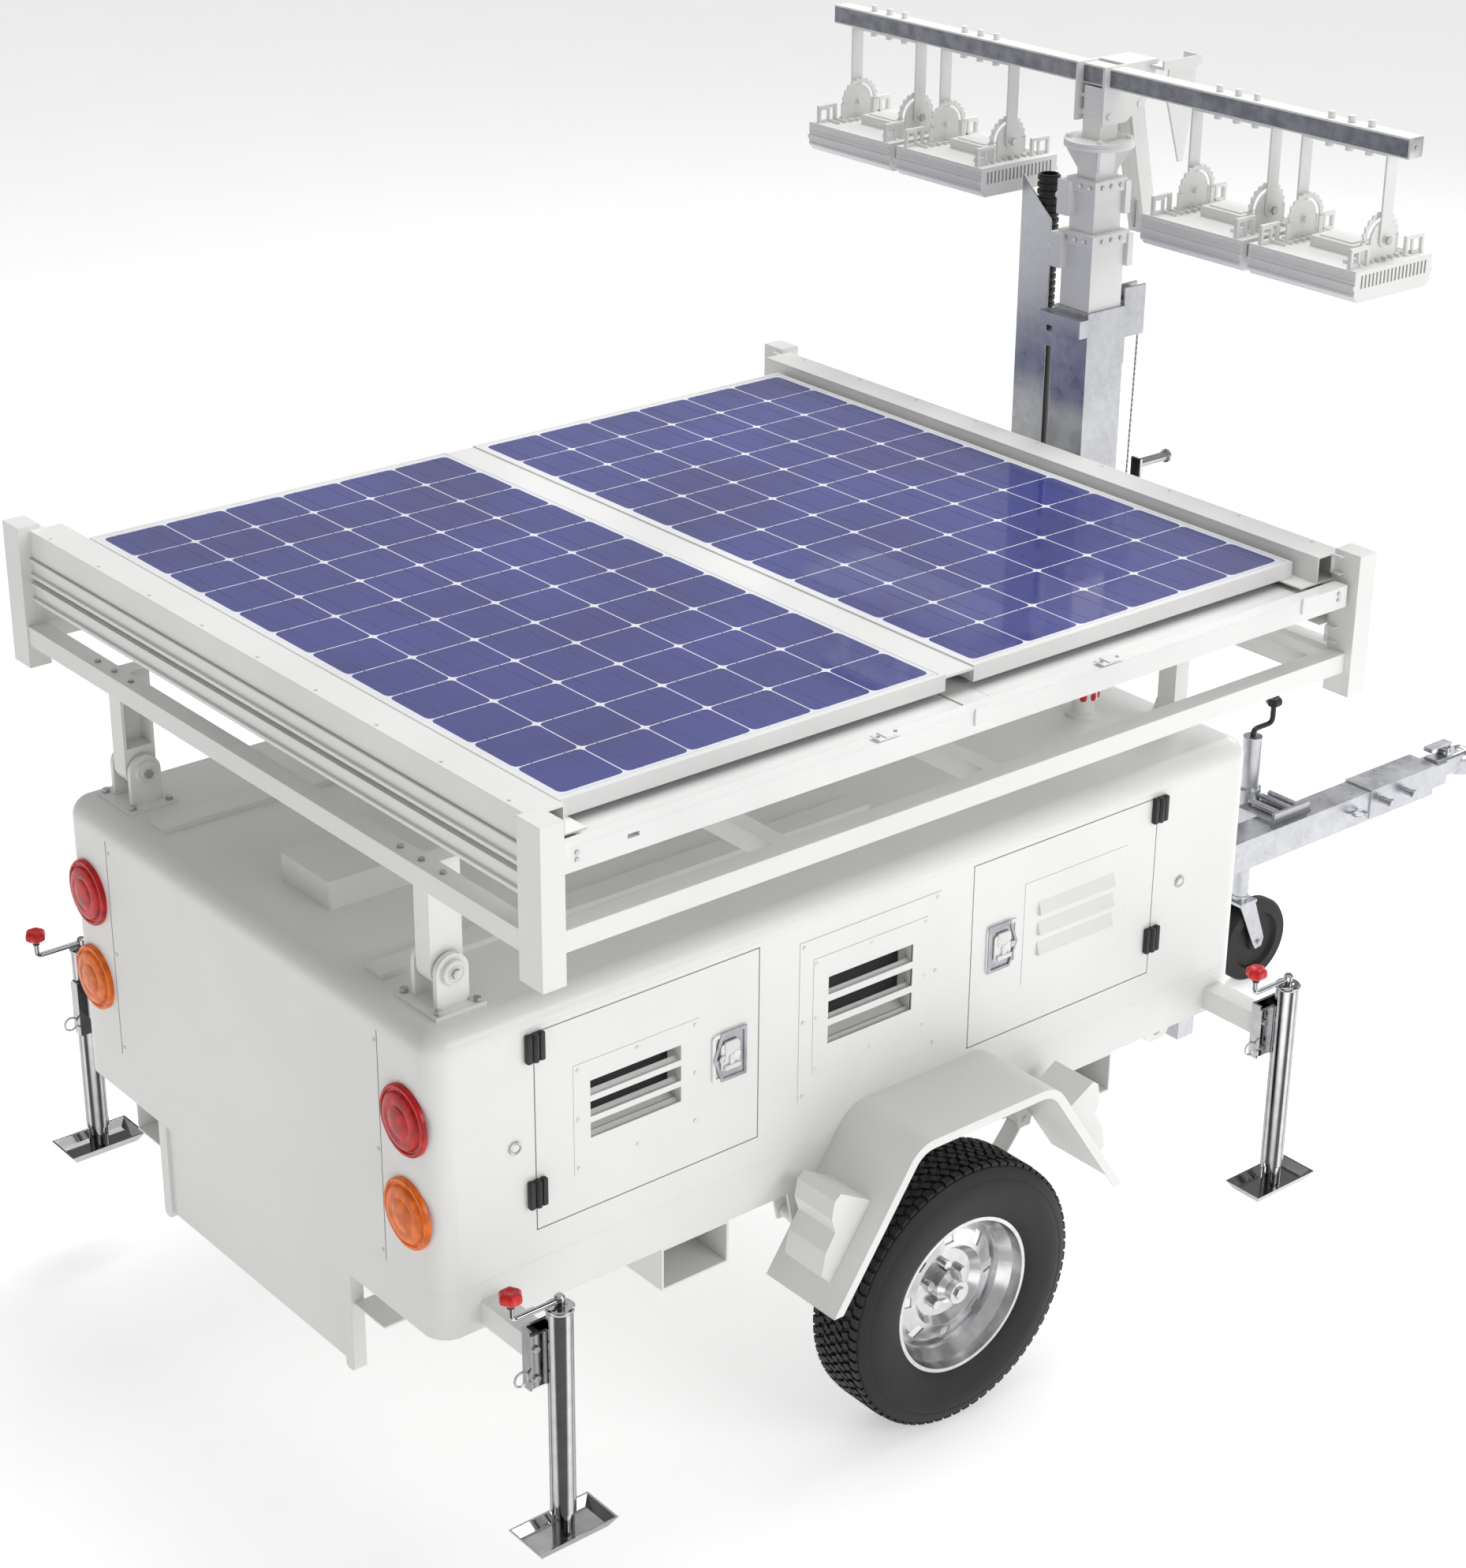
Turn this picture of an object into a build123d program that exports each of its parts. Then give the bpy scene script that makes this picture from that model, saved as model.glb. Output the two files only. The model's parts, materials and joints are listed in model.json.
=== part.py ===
"""Solar lighting tower trailer: a two-wheel trailer with a steel cabinet, a tilting
solar deck with two pull-out trays, a telescopic mast and four LED floodlights.

Millimetres.  +X is forward to the hitch, +Y is the left side, +Z is up.  Lengths along
X are measured from the rear wall of the cabinet, heights from the ground, and the whole
object is centred over its footprint when it is written out.
"""
import os
from math import cos, radians, sin
from build123d import *

# ---- cabinet and chassis ----
body_length = 2565.0
body_half_width = 800.0
chassis_bottom = 725.0
skirt_top = 845.0
roof_top = 1490.0
corner_radius = 60.0
roof_radius = 50.0
sheet = 3.0
roof_seam = 1437.0
panel_split = 595.0          # half width of the plain panels between the wrapped corners
rail_width = 60.0
rail_sheet = 4.0
crossmember_width = 50.0
floor_sheet = 3.0

# ---- doors ----
door_bottom = 920.0
door_top = 1424.0
door_width = 640.0
door_gap = 3.0
rear_door_x = 268.0
front_door_x = 1578.0
door_sheet = 3.0
door_flange = 18.0
hinge_knuckle_radius = 9.0
hinge_pin_radius = 4.0
pin_clearance = 0.05
hinge_heights = (990.0, 1360.0)
hinge_height = 62.0
vent_panel_x = 1028.0
vent_panel_width = 443.0
vent_panel_bottom = 970.0
vent_panel_height = 422.0
vent_opening_width = 267.0
vent_opening_height = 196.0
vent_opening_bottom = 1082.0

# ---- wheels and suspension ----
axle_x = 1422.0
tyre_radius = 360.0
tyre_width = 196.0
wheel_y = 908.0
rim_radius = 206.0
axle_tube = 60.0
spindle_radius = 20.0
spring_y = 765.0
spring_span = 380.0
spring_width = 50.0

# ---- fenders ----
fender_outer = 1050.0
fender_top = 905.0
fender_flat = 452.0
fender_foot = 972.0
fender_low = 526.0
fender_sheet = 4.0
fender_lip = 24.0

# ---- drawbar ----
drawbar_size = 100.0
drawbar_bottom = 543.0
drawbar_wall = 6.0
drawbar_rear = 2290.0
sleeve_rear = 4030.0
sleeve_front = 4345.0
coupler_tip = 4575.0
ball_socket_radius = 25.6
inner_bar = 76.0
slide_clearance = 0.5

# ---- jockey wheel ----
jockey_x = 3680.0
jockey_y = 148.0
jockey_radius = 30.0
jockey_wheel_radius = 140.0
jockey_wheel_width = 56.0
jockey_trail = 66.0

# ---- corner jacks ----
jack_y = 1056.0
rear_jack_x = 142.0
front_jack_x = 2475.0
jack_pivot_z = 768.0
eye_inset = 140.0
jack_tube_radius = 30.0
jack_leg_radius = 26.0
jack_top = 905.0
jack_tube_bottom = 372.0
jack_foot_z = 305.0
jack_foot_length = 220.0
jack_foot_width = 116.0
stub_radius = 22.0

# ---- solar deck ----
deck_rear = 65.0
deck_front = 2575.0
deck_half_width = 1125.0
post_x = 60.0
post_y = 80.0
post_bottom = 1725.0
post_top = 2095.0
base_tube = 50.0
base_tube_bottom = 1787.0
pivot_x = 130.0
pivot_z = 1580.0
pivot_y = 655.0
pivot_pin_radius = 15.0
rest_x = 2462.0
rest_y = 600.0
module_length = 1956.0
module_width = 1066.0
module_height = 40.0
module_top = 2057.0
module_rear = 222.0
module_pitch = 1152.0
upper_tray_bottom = 1965.0
lower_tray_bottom = 1902.0
tray_height = 36.0
tray_length = 1972.0
tray_face = 1104.0
runner_width = 24.0
rail_recess = 28.0
tube_wall = 3.0
slide_play = 0.3
module_play = 0.4
tray_face_rail = 40.0
tray_end_rail = 30.0

# ---- mast ----
mast_x = 2697.0
mast_length_x = 140.0
mast_length_y = 128.0
mast_wall = 6.0
mast_top = 2435.0
stage_step = 20.0
stage_wall = 5.0
stage_play = 0.6
stage_tops = (2640.0, 2780.0, 2862.0)
flange_radius = 92.0
flange_thick = 9.0

# ---- lamps ----
bar_z = 3045.0
bar_size = 50.0
bar_half = 1024.0
lamp_centres = (822.0, 458.0, -465.0, -826.0)
lamp_width = 338.0
lamp_depth = 280.0
lamp_height = 78.0
lamp_bottom = 2685.0
lamp_pivot_z = 2812.0
yoke_half = 134.0
yoke_bolt_pitch = 62.0
yoke_width = 38.0
yoke_sheet = 5.0

lens_depth = 26.0
middle_x = (coupler_tip - lens_depth) / 2


def block(x0, x1, y0, y1, z0, z1):
    """Box between two corners."""
    size = Box(abs(x1 - x0), abs(y1 - y0), abs(z1 - z0))
    return Pos((x0 + x1) / 2, (y0 + y1) / 2, (z0 + z1) / 2) * size


def tube_block(x0, x1, y0, y1, z0, z1, wall, axis):
    """Rectangular hollow section open along one axis."""
    outer = block(x0, x1, y0, y1, z0, z1)
    if axis == "x":
        return outer - block(x0 - 1, x1 + 1, y0 + wall, y1 - wall, z0 + wall, z1 - wall)
    if axis == "y":
        return outer - block(x0 + wall, x1 - wall, y0 - 1, y1 + 1, z0 + wall, z1 - wall)
    return outer - block(x0 + wall, x1 - wall, y0 + wall, y1 - wall, z0 - 1, z1 + 1)


def rod_x(x0, x1, y, z, radius):
    return Pos((x0 + x1) / 2, y, z) * Rot(0, 90, 0) * Cylinder(radius, abs(x1 - x0))


def rod_y(x, y0, y1, z, radius):
    return Pos(x, (y0 + y1) / 2, z) * Rot(90, 0, 0) * Cylinder(radius, abs(y1 - y0))


def rod_z(x, y, z0, z1, radius):
    return Pos(x, y, (z0 + z1) / 2) * Cylinder(radius, abs(z1 - z0))


def plate_xz(points, y0, y1):
    """Flat plate with an outline in X and Z between two Y values."""
    outline = make_face(Polyline(*points, close=True))
    solid = extrude(Plane.XZ * outline, y1 - y0, dir=(0, 1, 0))
    return Pos(0, y0, 0) * solid


def plate_yz(points, x0, x1):
    outline = make_face(Polyline(*points, close=True))
    solid = extrude(Plane.YZ * outline, x1 - x0, dir=(1, 0, 0))
    return Pos(x0, 0, 0) * solid


def rounded_slab(x0, x1, half, radius, z0, z1):
    outline = RectangleRounded(x1 - x0, 2 * half, radius)
    return Pos((x0 + x1) / 2, 0, z0) * extrude(outline, z1 - z0)


def save(name, *solids):
    """Write the separate solids of one piece, centred over the footprint."""
    moved = [Pos(-middle_x, 0, 0) * s for s in solids]
    parts = [s for m in moved for s in m.solids()]
    whole = parts[0] if len(parts) == 1 else Compound(parts)
    export_step(whole, os.path.join("parts", name + ".step"))


# ------------------------------------------------------------------ chassis

def chassis_rail():
    ring = rounded_slab(0, body_length, body_half_width, corner_radius,
                        chassis_bottom, skirt_top)
    ring -= block(rail_width, body_length - rail_width,
                  -body_half_width + rail_width, body_half_width - rail_width,
                  chassis_bottom - 1, skirt_top + 1)
    groove = rounded_slab(rail_sheet, body_length - rail_sheet,
                          body_half_width - rail_sheet, corner_radius - rail_sheet,
                          chassis_bottom + rail_sheet, skirt_top - rail_sheet)
    return ring - groove


def crossmembers():
    reach = body_half_width - rail_sheet
    low = chassis_bottom + 10
    high = skirt_top - rail_sheet
    beams = []
    for x in (560.0, 1040.0, 1800.0, 2270.0):
        beams.append(tube_block(x, x + crossmember_width, -reach, reach, low, high, 4, "y"))
    return beams


def jack_socket(x, side):
    """Square tube out of the chassis side with the stub the jack swings on."""
    lock_y = jack_y - jack_tube_radius - 24
    arm = block(x - 30, x + 30, side * (body_half_width - 3), side * (lock_y - 12),
                jack_pivot_z - 30, jack_pivot_z + 30)
    stub = rod_y(x, side * (lock_y - 12), side * (lock_y + 16), jack_pivot_z, stub_radius)
    return arm + stub


def tie_down_eye(x, side):
    y = side * (body_half_width - 62)
    plate = block(x - 45, x + 45, y - 6, y + 6, chassis_bottom - 70, chassis_bottom)
    plate = fillet(plate.edges().filter_by(Axis.Y).group_by(Axis.Z)[0], 30)
    return plate - rod_y(x, y - 8, y + 8, chassis_bottom - 40, 15)


def chassis_frame():
    frame = chassis_rail()
    for beam in crossmembers():
        frame += beam
    for side in (-1, 1):
        for x in (rear_jack_x, front_jack_x):
            frame += jack_socket(x, side)
        for x in (rear_jack_x + eye_inset, front_jack_x - eye_inset):
            frame += tie_down_eye(x, side)
    floor = rounded_slab(sheet + 1, body_length - sheet - 1, body_half_width - sheet - 1,
                         corner_radius - sheet - 1, skirt_top, skirt_top + floor_sheet)
    return frame, floor


# ------------------------------------------------------------------ cabinet shell

def cabinet_block(inset):
    """Rounded cabinet volume, drawn in by the sheet thickness for the inside."""
    base = rounded_slab(inset, body_length - inset, body_half_width - inset,
                        corner_radius - inset, skirt_top, roof_top - inset)
    return fillet(base.faces().sort_by(Axis.Z)[-1].edges(), roof_radius - inset)


def cabinet_shell():
    return cabinet_block(0) - (Pos(0, 0, -0.001) * cabinet_block(sheet))


def door_opening(x, side):
    y0 = side * (body_half_width - 30)
    y1 = side * (body_half_width + 10)
    return block(x, x + door_width, y0, y1, door_bottom, door_top)


def side_wall(shell, side):
    far = body_half_width + 50
    wall = shell & block(-50, body_length + 50, side * panel_split, side * far,
                         skirt_top, roof_seam)
    for x in (rear_door_x, front_door_x):
        wall -= door_opening(x, side)
    margin = 60
    wall -= block(vent_panel_x + margin, vent_panel_x + vent_panel_width - margin,
                  side * (body_half_width - 20), side * (body_half_width + 10),
                  vent_panel_bottom + margin, vent_panel_bottom + vent_panel_height - margin)
    for x in (rear_door_x - 55, front_door_x + door_width + 98):
        y = side * body_half_width
        wall += rod_y(x, y, y + side * 4, 1155, 14)
    return wall


def end_panel(shell, front):
    x0, x1 = (body_length - 100, body_length + 50) if front else (-50, 100)
    return shell & block(x0, x1, -panel_split, panel_split, skirt_top, roof_seam)


def roof_panel(shell):
    return shell & block(-50, body_length + 50, -900, 900, roof_seam, roof_top + 50)


# ------------------------------------------------------------------ doors and vents

def louvre_slots(x, y_mid, bottom, width, height, count):
    """Open slots between sloping blades."""
    pitch = height / count
    slots = []
    for i in range(count):
        z = bottom + i * pitch
        slots.append(block(x, x + width, y_mid - 30, y_mid + 30, z + pitch * 0.28, z + pitch))
    return slots


def latch(x, z, side):
    """Paddle latch: shallow dish, raised paddle and lock barrel."""
    y = side * body_half_width
    dish = block(x - 52, x + 52, y - side * 2, y + side * 5, z - 62, z + 62)
    dish = fillet(dish.edges().filter_by(Axis.Y), 12)
    dish -= block(x - 42, x + 42, y + side * 1, y + side * 6, z - 52, z + 52)
    paddle = block(x - 30, x + 26, y + side * 0.9, y + side * 9, z - 34, z + 34)
    paddle = fillet(paddle.edges().filter_by(Axis.Y), 8)
    barrel = rod_y(x + 14, y + side * 8, y + side * 13, z, 11)
    return dish + paddle + barrel


def hinge_edge(x, hinge_at_rear):
    return x if hinge_at_rear else x + door_width


def hinge_axis_y(side):
    return side * (body_half_width + hinge_knuckle_radius)


def door_knuckles(edge, toward, side):
    """Middle knuckle and leaf carried by the door."""
    y = hinge_axis_y(side)
    pieces = []
    for z in hinge_heights:
        low = z + hinge_height / 3 + 0.3
        high = z + 2 * hinge_height / 3 - 0.3
        knuckle = rod_z(edge, y, low, high, hinge_knuckle_radius)
        leaf = block(edge, edge + toward * 15, side * body_half_width,
                     side * (body_half_width + 4), low, high)
        bore = rod_z(edge, y, low - 1, high + 1, hinge_pin_radius + pin_clearance)
        pieces.append((knuckle + leaf) - bore)
    return pieces


def door(x, side, hinge_at_rear, open_louvre):
    outer = side * body_half_width
    x0 = x + door_gap
    x1 = x + door_width - door_gap
    z0 = door_bottom + door_gap
    z1 = door_top - door_gap
    panel = block(x0, x1, outer - side * door_flange, outer, z0, z1)
    panel -= block(x0 + door_sheet, x1 - door_sheet, outer - side * (door_flange + 1),
                   outer - side * door_sheet, z0 + door_sheet, z1 - door_sheet)
    if open_louvre:
        frame_x = x + (106 if hinge_at_rear else door_width - 106 - 356)
        lou_x = x + (152 if hinge_at_rear else door_width - 152 - 257)
        panel += block(frame_x, frame_x + 356, outer, outer + side * 1.2, 1023, 1302)
        for slot in louvre_slots(lou_x, outer, 1088, 257, 162, 3):
            panel -= slot
        for i in range(3):
            z = 1088 + 54 * i
            blade = plate_blade(lou_x, 257, outer, side, z)
            panel += blade
    else:
        frame_x = x + (106 if hinge_at_rear else door_width - 106 - 356)
        lou_x = x + (152 if hinge_at_rear else door_width - 152 - 262)
        panel += block(frame_x, frame_x + 356, outer, outer + side * 1.2, 1040, 1320)
        for i in range(3):
            z = 1108 + 56 * i
            panel += raised_louvre(lou_x, 262, outer + side * 1.2, side, z)
    edge = hinge_edge(x, hinge_at_rear)
    toward = 1 if hinge_at_rear else -1
    for knuckle in door_knuckles(edge, toward, side):
        panel += knuckle
    latch_x = x + (door_width - 90 if hinge_at_rear else 102)
    return panel + latch(latch_x, 1177, side)


def plate_blade(x, width, outer, side, z):
    """Sloping blade inside an open louvre."""
    blade = Pos(x + width / 2, outer - side * 11, z + 10) * Box(width + 2, 26, 2.5)
    turned = blade.rotate(Axis((x, outer - side * 11, z + 10), (1, 0, 0)), -side * 38)
    return turned & block(x - 1, x + width + 1, outer, outer - side * 30, z - 14, z + 40)


def raised_louvre(x, width, outer, side, z):
    """Pressed louvre standing proud of the door."""
    points = [(outer, z), (outer + side * 12, z + 4), (outer, z + 38)]
    hood = plate_yz(points, x, x + width)
    hollow = plate_yz([(outer + side * 0.5, z - 1), (outer + side * 10, z + 2),
                       (outer + side * 0.5, z + 30)], x + 3, x + width - 3)
    return hood - hollow


def hinges():
    """Body halves of the eight door hinges with their pins."""
    out = []
    for side in (-1, 1):
        for x, at_rear in ((rear_door_x, True), (front_door_x, False)):
            edge = hinge_edge(x, at_rear)
            away = -1 if at_rear else 1
            y = hinge_axis_y(side)
            for z in hinge_heights:
                pin = rod_z(edge, y, z, z + hinge_height, hinge_pin_radius)
                for part in (0, 2):
                    low = z + part * hinge_height / 3
                    high = low + hinge_height / 3
                    pin += rod_z(edge, y, low, high, hinge_knuckle_radius)
                    pin += block(edge, edge + away * 18, side * body_half_width,
                                 side * (body_half_width + 4), low, high)
                pin += block(edge + away * 11, edge + away * 18, side * body_half_width,
                             side * (body_half_width + 4), z, z + hinge_height)
                out.append(pin)
    return out


def vent_panel(side):
    """Louvred cover screwed on the side wall between the doors."""
    outer = side * body_half_width
    panel = block(vent_panel_x, vent_panel_x + vent_panel_width, outer, outer + side * 2,
                  vent_panel_bottom, vent_panel_bottom + vent_panel_height)
    centre = vent_panel_x + vent_panel_width / 2
    lou_x = centre - vent_opening_width / 2
    panel += block(centre - 180, centre + 180, outer, outer + side * 3.5,
                   vent_opening_bottom - 52, vent_opening_bottom + 256)
    for slot in louvre_slots(lou_x, outer, vent_opening_bottom, vent_opening_width,
                             vent_opening_height, 3):
        panel -= slot
    for i in range(3):
        z = vent_opening_bottom + i * vent_opening_height / 3
        panel += plate_blade(lou_x, vent_opening_width, outer + side * 2, side, z)
    return panel


# ------------------------------------------------------------------ rear end

def tail_lens(y, z):
    """Round lens with a stepped rim."""
    lens = rod_x(-12, 0, y, z, 85)
    lens += rod_x(-20, -12, y, z, 74)
    return lens + rod_x(-26, -20, y, z, 56)


def rear_bumper():
    """Under-ride plate between two posts and two short tubes under the rear rail."""
    x0 = 8.0
    plate = block(x0, x0 + 5, -400, 400, 470, chassis_bottom)
    for side in (-1, 1):
        post = block(x0 - 8, x0 + 26, side * 400, side * 436, 455, chassis_bottom)
        plate += fillet(post.edges().filter_by(Axis.X).group_by(Axis.Z)[0], 12)
        mouth = tube_block(x0, x0 + 150, side * 436, side * 560, 640, chassis_bottom, 5, "x")
        plate += mouth
    return plate


def fork_pockets():
    out = []
    for x in (621.0, 1905.0):
        out.append(tube_block(x, x + 200, -body_half_width, body_half_width,
                              chassis_bottom - 115, chassis_bottom, 6, "y"))
    return out


# ------------------------------------------------------------------ fenders

def fender_outline(inset):
    half_flat = fender_flat / 2
    half_foot = fender_foot / 2
    top = fender_top - inset
    run = FilletPolyline((axle_x - half_foot - 30, fender_low - 50),
                         (axle_x - half_flat, fender_top),
                         (axle_x + half_flat, fender_top),
                         (axle_x + half_foot + 30, fender_low - 50), radius=90)
    face = make_face(run + Line(run @ 1, run @ 0))
    return offset(face, -inset) if inset else face


def fender_solid(inset, y0, y1):
    solid = extrude(Plane.XZ * fender_outline(inset), abs(y1 - y0), dir=(0, 1, 0))
    return Pos(0, min(y0, y1), 0) * solid


def fender(side):
    near = side * body_half_width
    far = side * fender_outer
    shell = fender_solid(0, near, far)
    shell -= fender_solid(fender_sheet, near - side, far + side)
    lip_near = far - side * fender_sheet
    lip = fender_solid(0, lip_near, far) - fender_solid(fender_lip, lip_near - side, far + side)
    shell += lip
    low = block(0, 3000, near - side * 5, far + side * 5, 300, fender_low)
    return shell - low


def chock(side, rear):
    """Wheel chock lying on the fender slope."""
    sign = -1 if rear else 1
    x_top = axle_x + sign * fender_flat / 2
    run_x = sign * ((fender_foot - fender_flat) / 2 + 30)
    run_z = fender_low - 50 - fender_top
    length = (run_x ** 2 + run_z ** 2) ** 0.5
    ux, uz = run_x / length, run_z / length
    nx, nz = (uz, -ux) if sign < 0 else (-uz, ux)
    near, far = 855 * side, 990 * side

    def at(along, out):
        return (x_top + ux * along + nx * out, fender_top + uz * along + nz * out)

    gap = 0.3
    body = plate_xz([at(170, gap), at(390, gap), at(380, 40), at(200, 118), at(178, 110)],
                    min(near, far), max(near, far))
    dish = plate_xz([at(395, 62), at(270, 66), at(225, 122), at(400, 150)],
                    min(near, far) - 1, max(near, far) + 1)
    core = plate_xz([at(182, -1), at(378, -1), at(372, 34), at(212, 56), at(188, 60)],
                    min(near, far) + 4, max(near, far) - 4)
    return body - dish - core


# ------------------------------------------------------------------ axle and springs

def axle_beam():
    half = wheel_y - tyre_width / 2 - 2
    beam = tube_block(axle_x - axle_tube / 2, axle_x + axle_tube / 2, -half + 20, half - 20,
                      tyre_radius - axle_tube / 2, tyre_radius + axle_tube / 2, 6, "y")
    for side in (-1, 1):
        beam += block(axle_x - axle_tube / 2, axle_x + axle_tube / 2, side * (half - 26),
                      side * half, tyre_radius - axle_tube / 2, tyre_radius + axle_tube / 2)
        beam += rod_y(axle_x, side * half, side * (wheel_y + 62), tyre_radius, spindle_radius)
    return beam


def leaf_spring(side):
    """Three leaves sagging to the axle, one solid per spring pack."""
    y0 = side * spring_y - spring_width / 2
    y1 = side * spring_y + spring_width / 2
    seat = tyre_radius + axle_tube / 2
    eye_z = chassis_bottom - 95
    pack = None
    for i, span in enumerate((spring_span, spring_span * 0.72, spring_span * 0.46)):
        top = seat + 27 - 9 * i
        rise = (eye_z - seat - 27) * (span / spring_span) ** 2
        upper = ThreePointArc((axle_x - span, top + rise), (axle_x, top),
                              (axle_x + span, top + rise))
        lower = ThreePointArc((axle_x + span, top + rise - 9), (axle_x, top - 9),
                              (axle_x - span, top + rise - 9))
        loop = upper + Line(upper @ 1, lower @ 0) + lower + Line(lower @ 1, upper @ 0)
        leaf = Pos(0, y0, 0) * extrude(Plane.XZ * make_face(loop), y1 - y0, dir=(0, 1, 0))
        pack = leaf if pack is None else pack + leaf
    for sign in (-1, 1):
        x = axle_x + sign * (spring_span - 4)
        pack += rod_y(x, y0, y1, eye_z + 6, 17)
        hanger = plate_xz([(x - 42, chassis_bottom), (x + 42, chassis_bottom),
                           (x + 20, eye_z - 14), (x - 20, eye_z - 14)], y0 - 9, y0 - 1)
        pack += hanger
        pack += Pos(0, spring_width + 10, 0) * hanger
        pack += rod_y(x, y0 - 12, y1 + 12, eye_z + 6, 9)
    pack += block(axle_x - 48, axle_x + 48, y0 - 6, y1 + 6, seat, seat + 12)
    return pack


# ------------------------------------------------------------------ wheels

def spin(points, side):
    """Turn an outline of radius and width about the axle line."""
    outline = make_face(Polyline(*[(p[0], p[1]) for p in points], close=True))
    turned = revolve(outline, Axis.Y, 360)
    return Pos(axle_x, side * wheel_y, tyre_radius) * turned


def tyre(side):
    half = tyre_width / 2
    r = tyre_radius
    inner = rim_radius + 0.3
    carcass = [(inner, -half * 0.74), (rim_radius + 7, -half * 0.74),
               (rim_radius + 22, -half * 0.86), (r - 74, -half),
               (r - 26, -half * 0.97), (r - 4, -half * 0.86), (r, -half * 0.7),
               (r, half * 0.7), (r - 4, half * 0.86), (r - 26, half * 0.97),
               (r - 74, half), (rim_radius + 22, half * 0.86),
               (rim_radius + 7, half * 0.74), (inner, half * 0.74)]
    body = spin(carcass, side)
    hollow = [(inner - 1, -half * 0.5), (r - 90, -half * 0.78), (r - 24, -half * 0.76),
              (r - 24, half * 0.76), (r - 90, half * 0.78), (inner - 1, half * 0.5)]
    body -= spin(hollow, side)
    for y in (-38.0, 0.0, 38.0):
        groove = [(r - 9, y - 4), (r + 1, y - 4), (r + 1, y + 4), (r - 9, y + 4)]
        body -= spin(groove, side)
    return body


def rim(side):
    """Steel wheel: barrel, dished disc with windows, hub, lug nuts and cap."""
    half = tyre_width / 2
    w = side
    barrel = [(rim_radius + 6, -half * 0.75), (rim_radius + 6, -half * 0.80),
              (rim_radius - 4, -half * 0.80), (rim_radius - 8, -half * 0.5),
              (rim_radius - 30, -half * 0.2), (rim_radius - 30, half * 0.1),
              (rim_radius - 8, half * 0.5), (rim_radius - 4, half * 0.80),
              (rim_radius + 6, half * 0.80), (rim_radius + 6, half * 0.75),
              (rim_radius, half * 0.75), (rim_radius, half * 0.44),
              (rim_radius - 24, half * 0.12), (rim_radius - 24, -half * 0.22),
              (rim_radius, -half * 0.44), (rim_radius, -half * 0.75)]
    wheel = spin(barrel, side)
    disc = [(spindle_radius + 14, w * 4), (92, w * 4), (110, w * 26), (150, w * 16),
            (rim_radius - 27, w * 4), (rim_radius - 27, w * -2), (150, w * 10),
            (108, w * 20), (92, w * -3), (spindle_radius + 14, w * -3)]
    wheel += spin(disc, side)
    place = Pos(axle_x, side * wheel_y, tyre_radius)
    for i in range(8):
        a = i * 45
        window = Pos(139 * cos(radians(a)), w * 14, 139 * sin(radians(a)))
        window = place * window * Rot(0, -a, 0) * Box(34, 40, 30)
        wheel -= window
    for i in range(5):
        a = radians(i * 72 + 90)
        wheel += place * Pos(57 * cos(a), w * 12, 57 * sin(a)) * Rot(90, 0, 0) * Cylinder(12, 20)
    hub = [(spindle_radius + pin_clearance, -36 * w), (44, -36 * w), (44, 30 * w),
           (30, 44 * w), (30, 66 * w), (0, 66 * w), (0, 62.5 * w),
           (spindle_radius + pin_clearance, 62.5 * w)]
    wheel += spin(hub, side)
    wheel += place * Pos(0, w * 69, 0) * Rot(90, 0, 0) * extrude(RegularPolygon(17, 6), 4, both=True)
    return wheel


# ------------------------------------------------------------------ drawbar and jockey

def drawbar():
    half = drawbar_size / 2
    low = drawbar_bottom
    high = low + drawbar_size
    bar = block(drawbar_rear, sleeve_front, -half, half, low, high)
    bore = inner_bar / 2 + slide_clearance
    mid = (low + high) / 2
    bar -= block(sleeve_rear - 620, sleeve_front + 1, -bore, bore, mid - bore, mid + bore)
    bar -= block(drawbar_rear - 1, sleeve_rear - 640, -half + drawbar_wall, half - drawbar_wall,
                 low + drawbar_wall, high - drawbar_wall)
    sleeve = block(sleeve_rear, sleeve_front, -half - 5, half + 5, low + 8, high + 5)
    sleeve -= block(sleeve_rear - 1, sleeve_front + 1, -half, half, low - 1, high)
    cut = plate_xz([(sleeve_front - 30, low + 7), (sleeve_front + 1, low + 7),
                    (sleeve_front + 1, low + 45)], -60, 60)
    bar += sleeve - cut
    for x in (drawbar_rear + 4, body_length - rail_width):
        bar += block(x, x + 50, -half, half, high, chassis_bottom)
    for side in (-1, 1):
        start = (2535.0, side * 640.0)
        end = (3260.0, side * (half - 4))
        bar += brace_tube(start, end, low + 20, low + 80)
        bar += block(start[0] - 30, start[0] + 30, start[1] - 30, start[1] + 30,
                     low + 20, chassis_bottom)
    ring_x = sleeve_rear - 70
    bar += Pos(ring_x, -half - 20, low + 52) * Torus(22, 5)
    for x in clamp_screw_places():
        bar -= rod_y(x, -80, -half + 12, low + 56, 11.3)
    return bar


def brace_tube(start, end, z0, z1):
    dx = end[0] - start[0]
    dy = end[1] - start[1]
    length = (dx ** 2 + dy ** 2) ** 0.5
    width = 50.0
    ux, uy = dx / length, dy / length
    px, py = -uy * width / 2, ux * width / 2
    outline = make_face(Polyline((start[0] + px, start[1] + py), (end[0] + px, end[1] + py),
                                 (end[0] - px, end[1] - py), (start[0] - px, start[1] - py),
                                 close=True))
    return Pos(0, 0, z0) * extrude(outline, z1 - z0)


def clamp_screw_places():
    return (sleeve_rear + 60, sleeve_rear + 170)


def clamp_screws():
    """T-headed screws that press on the inner bar."""
    out = []
    z = drawbar_bottom + 56
    tip = -inner_bar / 2 - slide_clearance / 2
    for x in clamp_screw_places():
        screw = rod_y(x, -84, tip, z, 11)
        screw += rod_y(x, -96, -84, z, 15)
        out.append(screw)
    return out


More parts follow.
